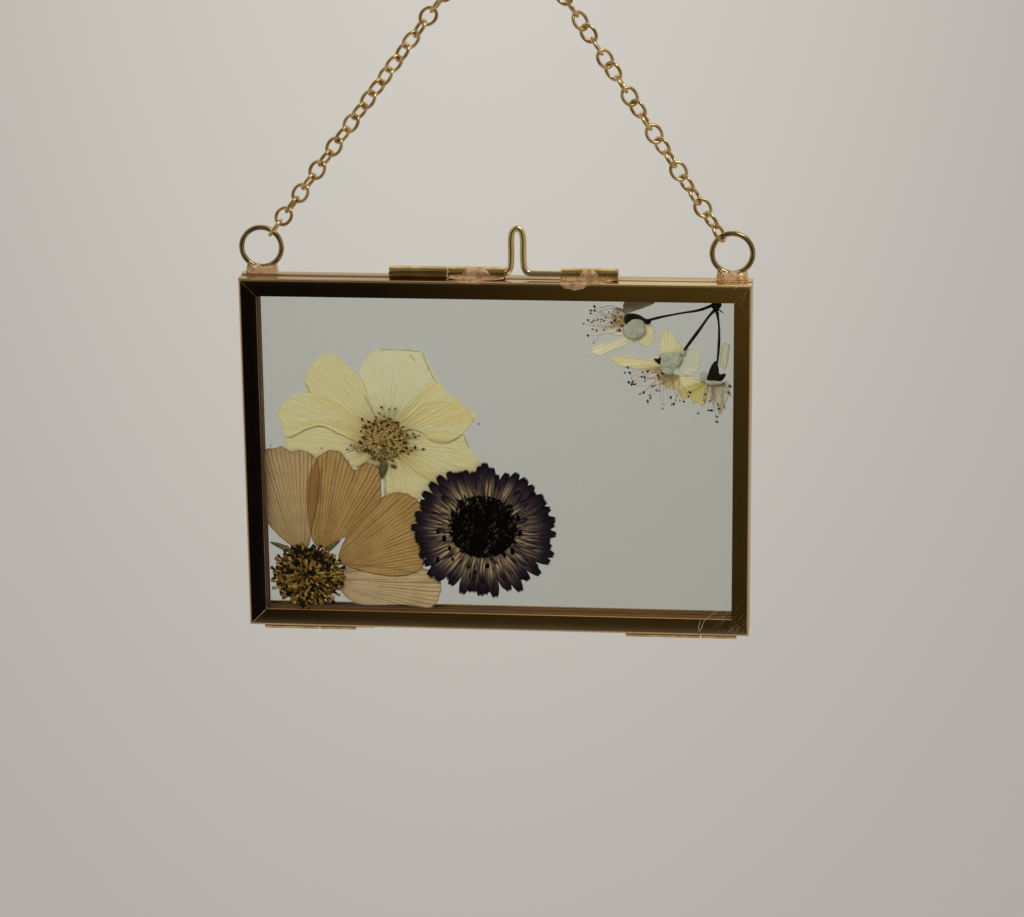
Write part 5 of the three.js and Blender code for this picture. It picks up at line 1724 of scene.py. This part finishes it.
def add_studio():
    add_backdrop()
    add_world()
    add_softbox("softbox_key", (-0.45, -0.95, 0.75), (0.6, 0.5), 9.8, mirrored=False)
    add_softbox("softbox_top", (0.5, -0.5, 0.75), (0.6, 0.4), 2.6)
    add_softbox("softbox_right", (0.85, -0.75, -0.1), (0.45, 0.8), 2.6, mirrored=False)
    bpy.context.scene.view_settings.view_transform = "Standard"


# --- making it all


def cad_finish(node, finish):
    """Gives a CAD node that is kept its finish."""
    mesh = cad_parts[node].data
    mesh.materials.clear()
    mesh.materials.append(finish)


def main():
    add_camera()
    chain_gold = brass_fitting("chain_gold", (0.86, 0.67, 0.37), (0.62, 0.42, 0.18), 0.12, 0.004, 0.97)
    add_chain(chain_gold)

    solder = solder_metal()
    seam = solder_metal("mitre_seam", (0.16, 0.11, 0.05), (0.36, 0.26, 0.14))
    tube = brass_fitting("rolled_brass", (0.92, 0.70, 0.34), (0.74, 0.50, 0.2), 0.15, 0.01, 0.97)
    wire = brass_fitting("drawn_wire", (0.96, 0.84, 0.5), (0.86, 0.70, 0.36), 0.13, 0.004, 0.97)
    # The rings' brass is painted darker than the other fittings, as painted shade.
    ring = brass_fitting("ring_brass_painted_shade", (0.50, 0.385, 0.19), (0.33, 0.25, 0.105), 0.14, 0.006, 0.97,
        TOP + 1.1)
    channel = brass_channel()
    add_channels(channel, seam, solder)
    add_rings(ring)
    wires = wire_tree()
    add_latch(tube, solder, wire, wires)
    add_hinges(tube, solder, wire, wires)
    glass = pane_glass()
    for node in ("back_pane", "front_pane"):
        cad_finish(node, glass)
        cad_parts[node].visible_shadow = False

    cream_veins = {"count": 78.0, "fine": 0.75, "bold_count": 41.0, "bold_width": 0.08, "bold_share": 0.3,
        "bold": 0.7, "wander": 1.2, "near": 3.0, "far": 17.0, "at_near": 0.8, "at_far": 0.14, "throat": 3.0,
        "throat_end": 10.0, "ridge_highlight": 0.3, "edge": 0.15, "relief": 0.3}
    # The fifth colour of each petal finish is painted shade where another petal lies behind.
    cream = petal_finish("cream_petal", (0.78, 0.70, 0.38), (0.745, 0.65, 0.32), (0.42, 0.33, 0.13),
        (0.50, 0.35, 0.10), (0.985, 0.95, 0.83), cream_veins)
    cream_pale = petal_finish("cream_petal_pale", (0.78, 0.735, 0.46), (0.755, 0.70, 0.415),
        (0.45, 0.38, 0.18), (0.52, 0.39, 0.13), (0.985, 0.95, 0.85), cream_veins)
    add_cream_petals(cream, cream_pale)
    cosmos_veins = {"count": 172.0, "fine": 1.0, "bold_count": 61.0, "bold_width": 0.07, "bold_share": 0.3,
        "bold": 0.8, "wander": 0.8, "near": 3.0, "far": 20.0, "at_near": 1.0, "at_far": 0.9, "throat": 4.0,
        "throat_end": 12.0, "ridge_highlight": 0.4, "edge": 0.7, "relief": 0.2}
    # Painted shade where one cosmos petal lies over another.
    painted_lap_shade = (0.68, 0.5, 0.34)
    add_cosmos_petals({
        "warm": petal_finish("cosmos_petal", (0.55, 0.345, 0.125), (0.37, 0.21, 0.055), (0.13, 0.06, 0.02),
            (0.33, 0.19, 0.06), painted_lap_shade, cosmos_veins),
        "grey": petal_finish("cosmos_petal_grey", (0.585, 0.41, 0.20), (0.415, 0.28, 0.12),
            (0.15, 0.08, 0.035), (0.36, 0.23, 0.09), painted_lap_shade, cosmos_veins),
        "pale": petal_finish("cosmos_petal_pale", (0.70, 0.52, 0.295), (0.51, 0.355, 0.165),
            (0.18, 0.10, 0.045), (0.40, 0.25, 0.09), painted_lap_shade, cosmos_veins),
    })

    stamens, scatter = stamen_tree(), scatter_tree()
    grain = grain_part()
    sepal = grain_finish("dry_sepal", (0.04, 0.035, 0.016), (0.11, 0.095, 0.04), (0.28, 0.25, 0.13), 1.2)
    cup = grain_finish("green_cup", (0.15, 0.16, 0.11), (0.44, 0.45, 0.34), (0.74, 0.70, 0.50), 1.3)
    boss = grain_finish("brown_grains", (0.045, 0.026, 0.012), (0.26, 0.155, 0.042), (0.66, 0.49, 0.17),
        2.2)
    pad = grain_finish("boss_pad", (0.20, 0.115, 0.03), (0.40, 0.26, 0.07), (0.56, 0.40, 0.14), 1.6)
    add_cream_boss({
        "boss": boss, "pad": pad, "sepal": sepal, "cup": cup,
    }, stamens, scatter, grain)
    mustard = grain_finish("mustard_florets", (0.010, 0.007, 0.004), (0.17, 0.09, 0.018),
        (0.42, 0.27, 0.06), 1.6)
    disc_floret = disc_floret_part()
    black_grain = grain_finish("black_grains", (0.001, 0.001, 0.001), (0.008, 0.006, 0.008),
        (0.11, 0.075, 0.05), 1.8, gloss=0.0)
    disc_base = grain_finish("disc_base", (0.008, 0.006, 0.003), (0.03, 0.02, 0.008), (0.08, 0.05, 0.015),
        1.6)
    add_cosmos_disc(scatter, disc_floret, grain, mustard, disc_base, sepal)

    outer_part = strap_floret_part("part_outer_ray", 0.05, 0.02, 0.116)
    inner_part = strap_floret_part("part_inner_ray", 0.05, 0.026, 0.14)
    dark = floret_finish("dark_florets", (0.05, 0.034, 0.02), (0.80, 0.58, 0.28), (0.036, 0.022, 0.032),
        (0.009, 0.006, 0.011))
    add_daisy(scatter, outer_part, inner_part, grain, dark, black_grain)

    blossom_veins = {"count": 62.0, "fine": 1.0, "bold_count": 31.0, "bold_width": 0.16, "bold_share": 0.4,
        "bold": 0.8, "wander": 1.6, "near": 0.0, "far": 8.0, "at_near": 0.8, "at_far": 0.6, "throat": 0.0,
        "throat_end": 5.0, "ridge_highlight": 0.4, "edge": 0.3, "relief": 0.07}
    fibre = (0.38, 0.27, 0.08)
    finishes = {
        "stem": stem_finish(),
        "petal": petal_finish("blossom_petal", (0.86, 0.80, 0.50), (0.78, 0.66, 0.32), fibre,
            (0.58, 0.46, 0.18), (0.95, 0.9, 0.7), blossom_veins),
        "pale_petal": petal_finish("blossom_petal_pale", (0.86, 0.82, 0.58), (0.82, 0.73, 0.43), fibre,
            (0.62, 0.52, 0.26), (0.95, 0.9, 0.7), blossom_veins),
        "ghost_petal": petal_finish("blossom_petal_ghost", (0.72, 0.72, 0.56), (0.68, 0.65, 0.46),
            (0.46, 0.38, 0.18), (0.6, 0.55, 0.36), (0.95, 0.9, 0.7), blossom_veins),
        "yellow_petal": petal_finish("blossom_petal_yellow", (0.70, 0.62, 0.25), (0.60, 0.48, 0.14),
            (0.4, 0.3, 0.07), (0.52, 0.38, 0.09), (0.95, 0.9, 0.7), blossom_veins),
        "peach": grain_finish("peach_petal", (0.80, 0.68, 0.48), (0.86, 0.76, 0.58), (0.88, 0.8, 0.64),
            0.6),
        "stamen": grain_finish("blossom_stamens", (0.02, 0.012, 0.008), (0.42, 0.26, 0.09),
            (0.66, 0.46, 0.18), 2.0),
        "arc": grain_finish("stamen_arcs", (0.16, 0.10, 0.05), (0.3, 0.2, 0.1), (0.42, 0.3, 0.16), 2.0),
        "cup": cup,
        "bract": grain_finish("brown_bract", (0.16, 0.11, 0.06), (0.34, 0.26, 0.15), (0.48, 0.4, 0.27),
            0.7),
        "dust": dust_finish(),
        "speck": grain_finish("specks", (0.03, 0.025, 0.02), (0.3, 0.28, 0.24), (0.95, 0.94, 0.9), 3.0),
    }
    add_sprig(finishes, wires, stamens)
    add_stray_bits(finishes, wires, scatter, grain)
    for part in (grain, disc_floret, outer_part, inner_part):
        bpy.data.objects.remove(part)

    add_studio()


main()
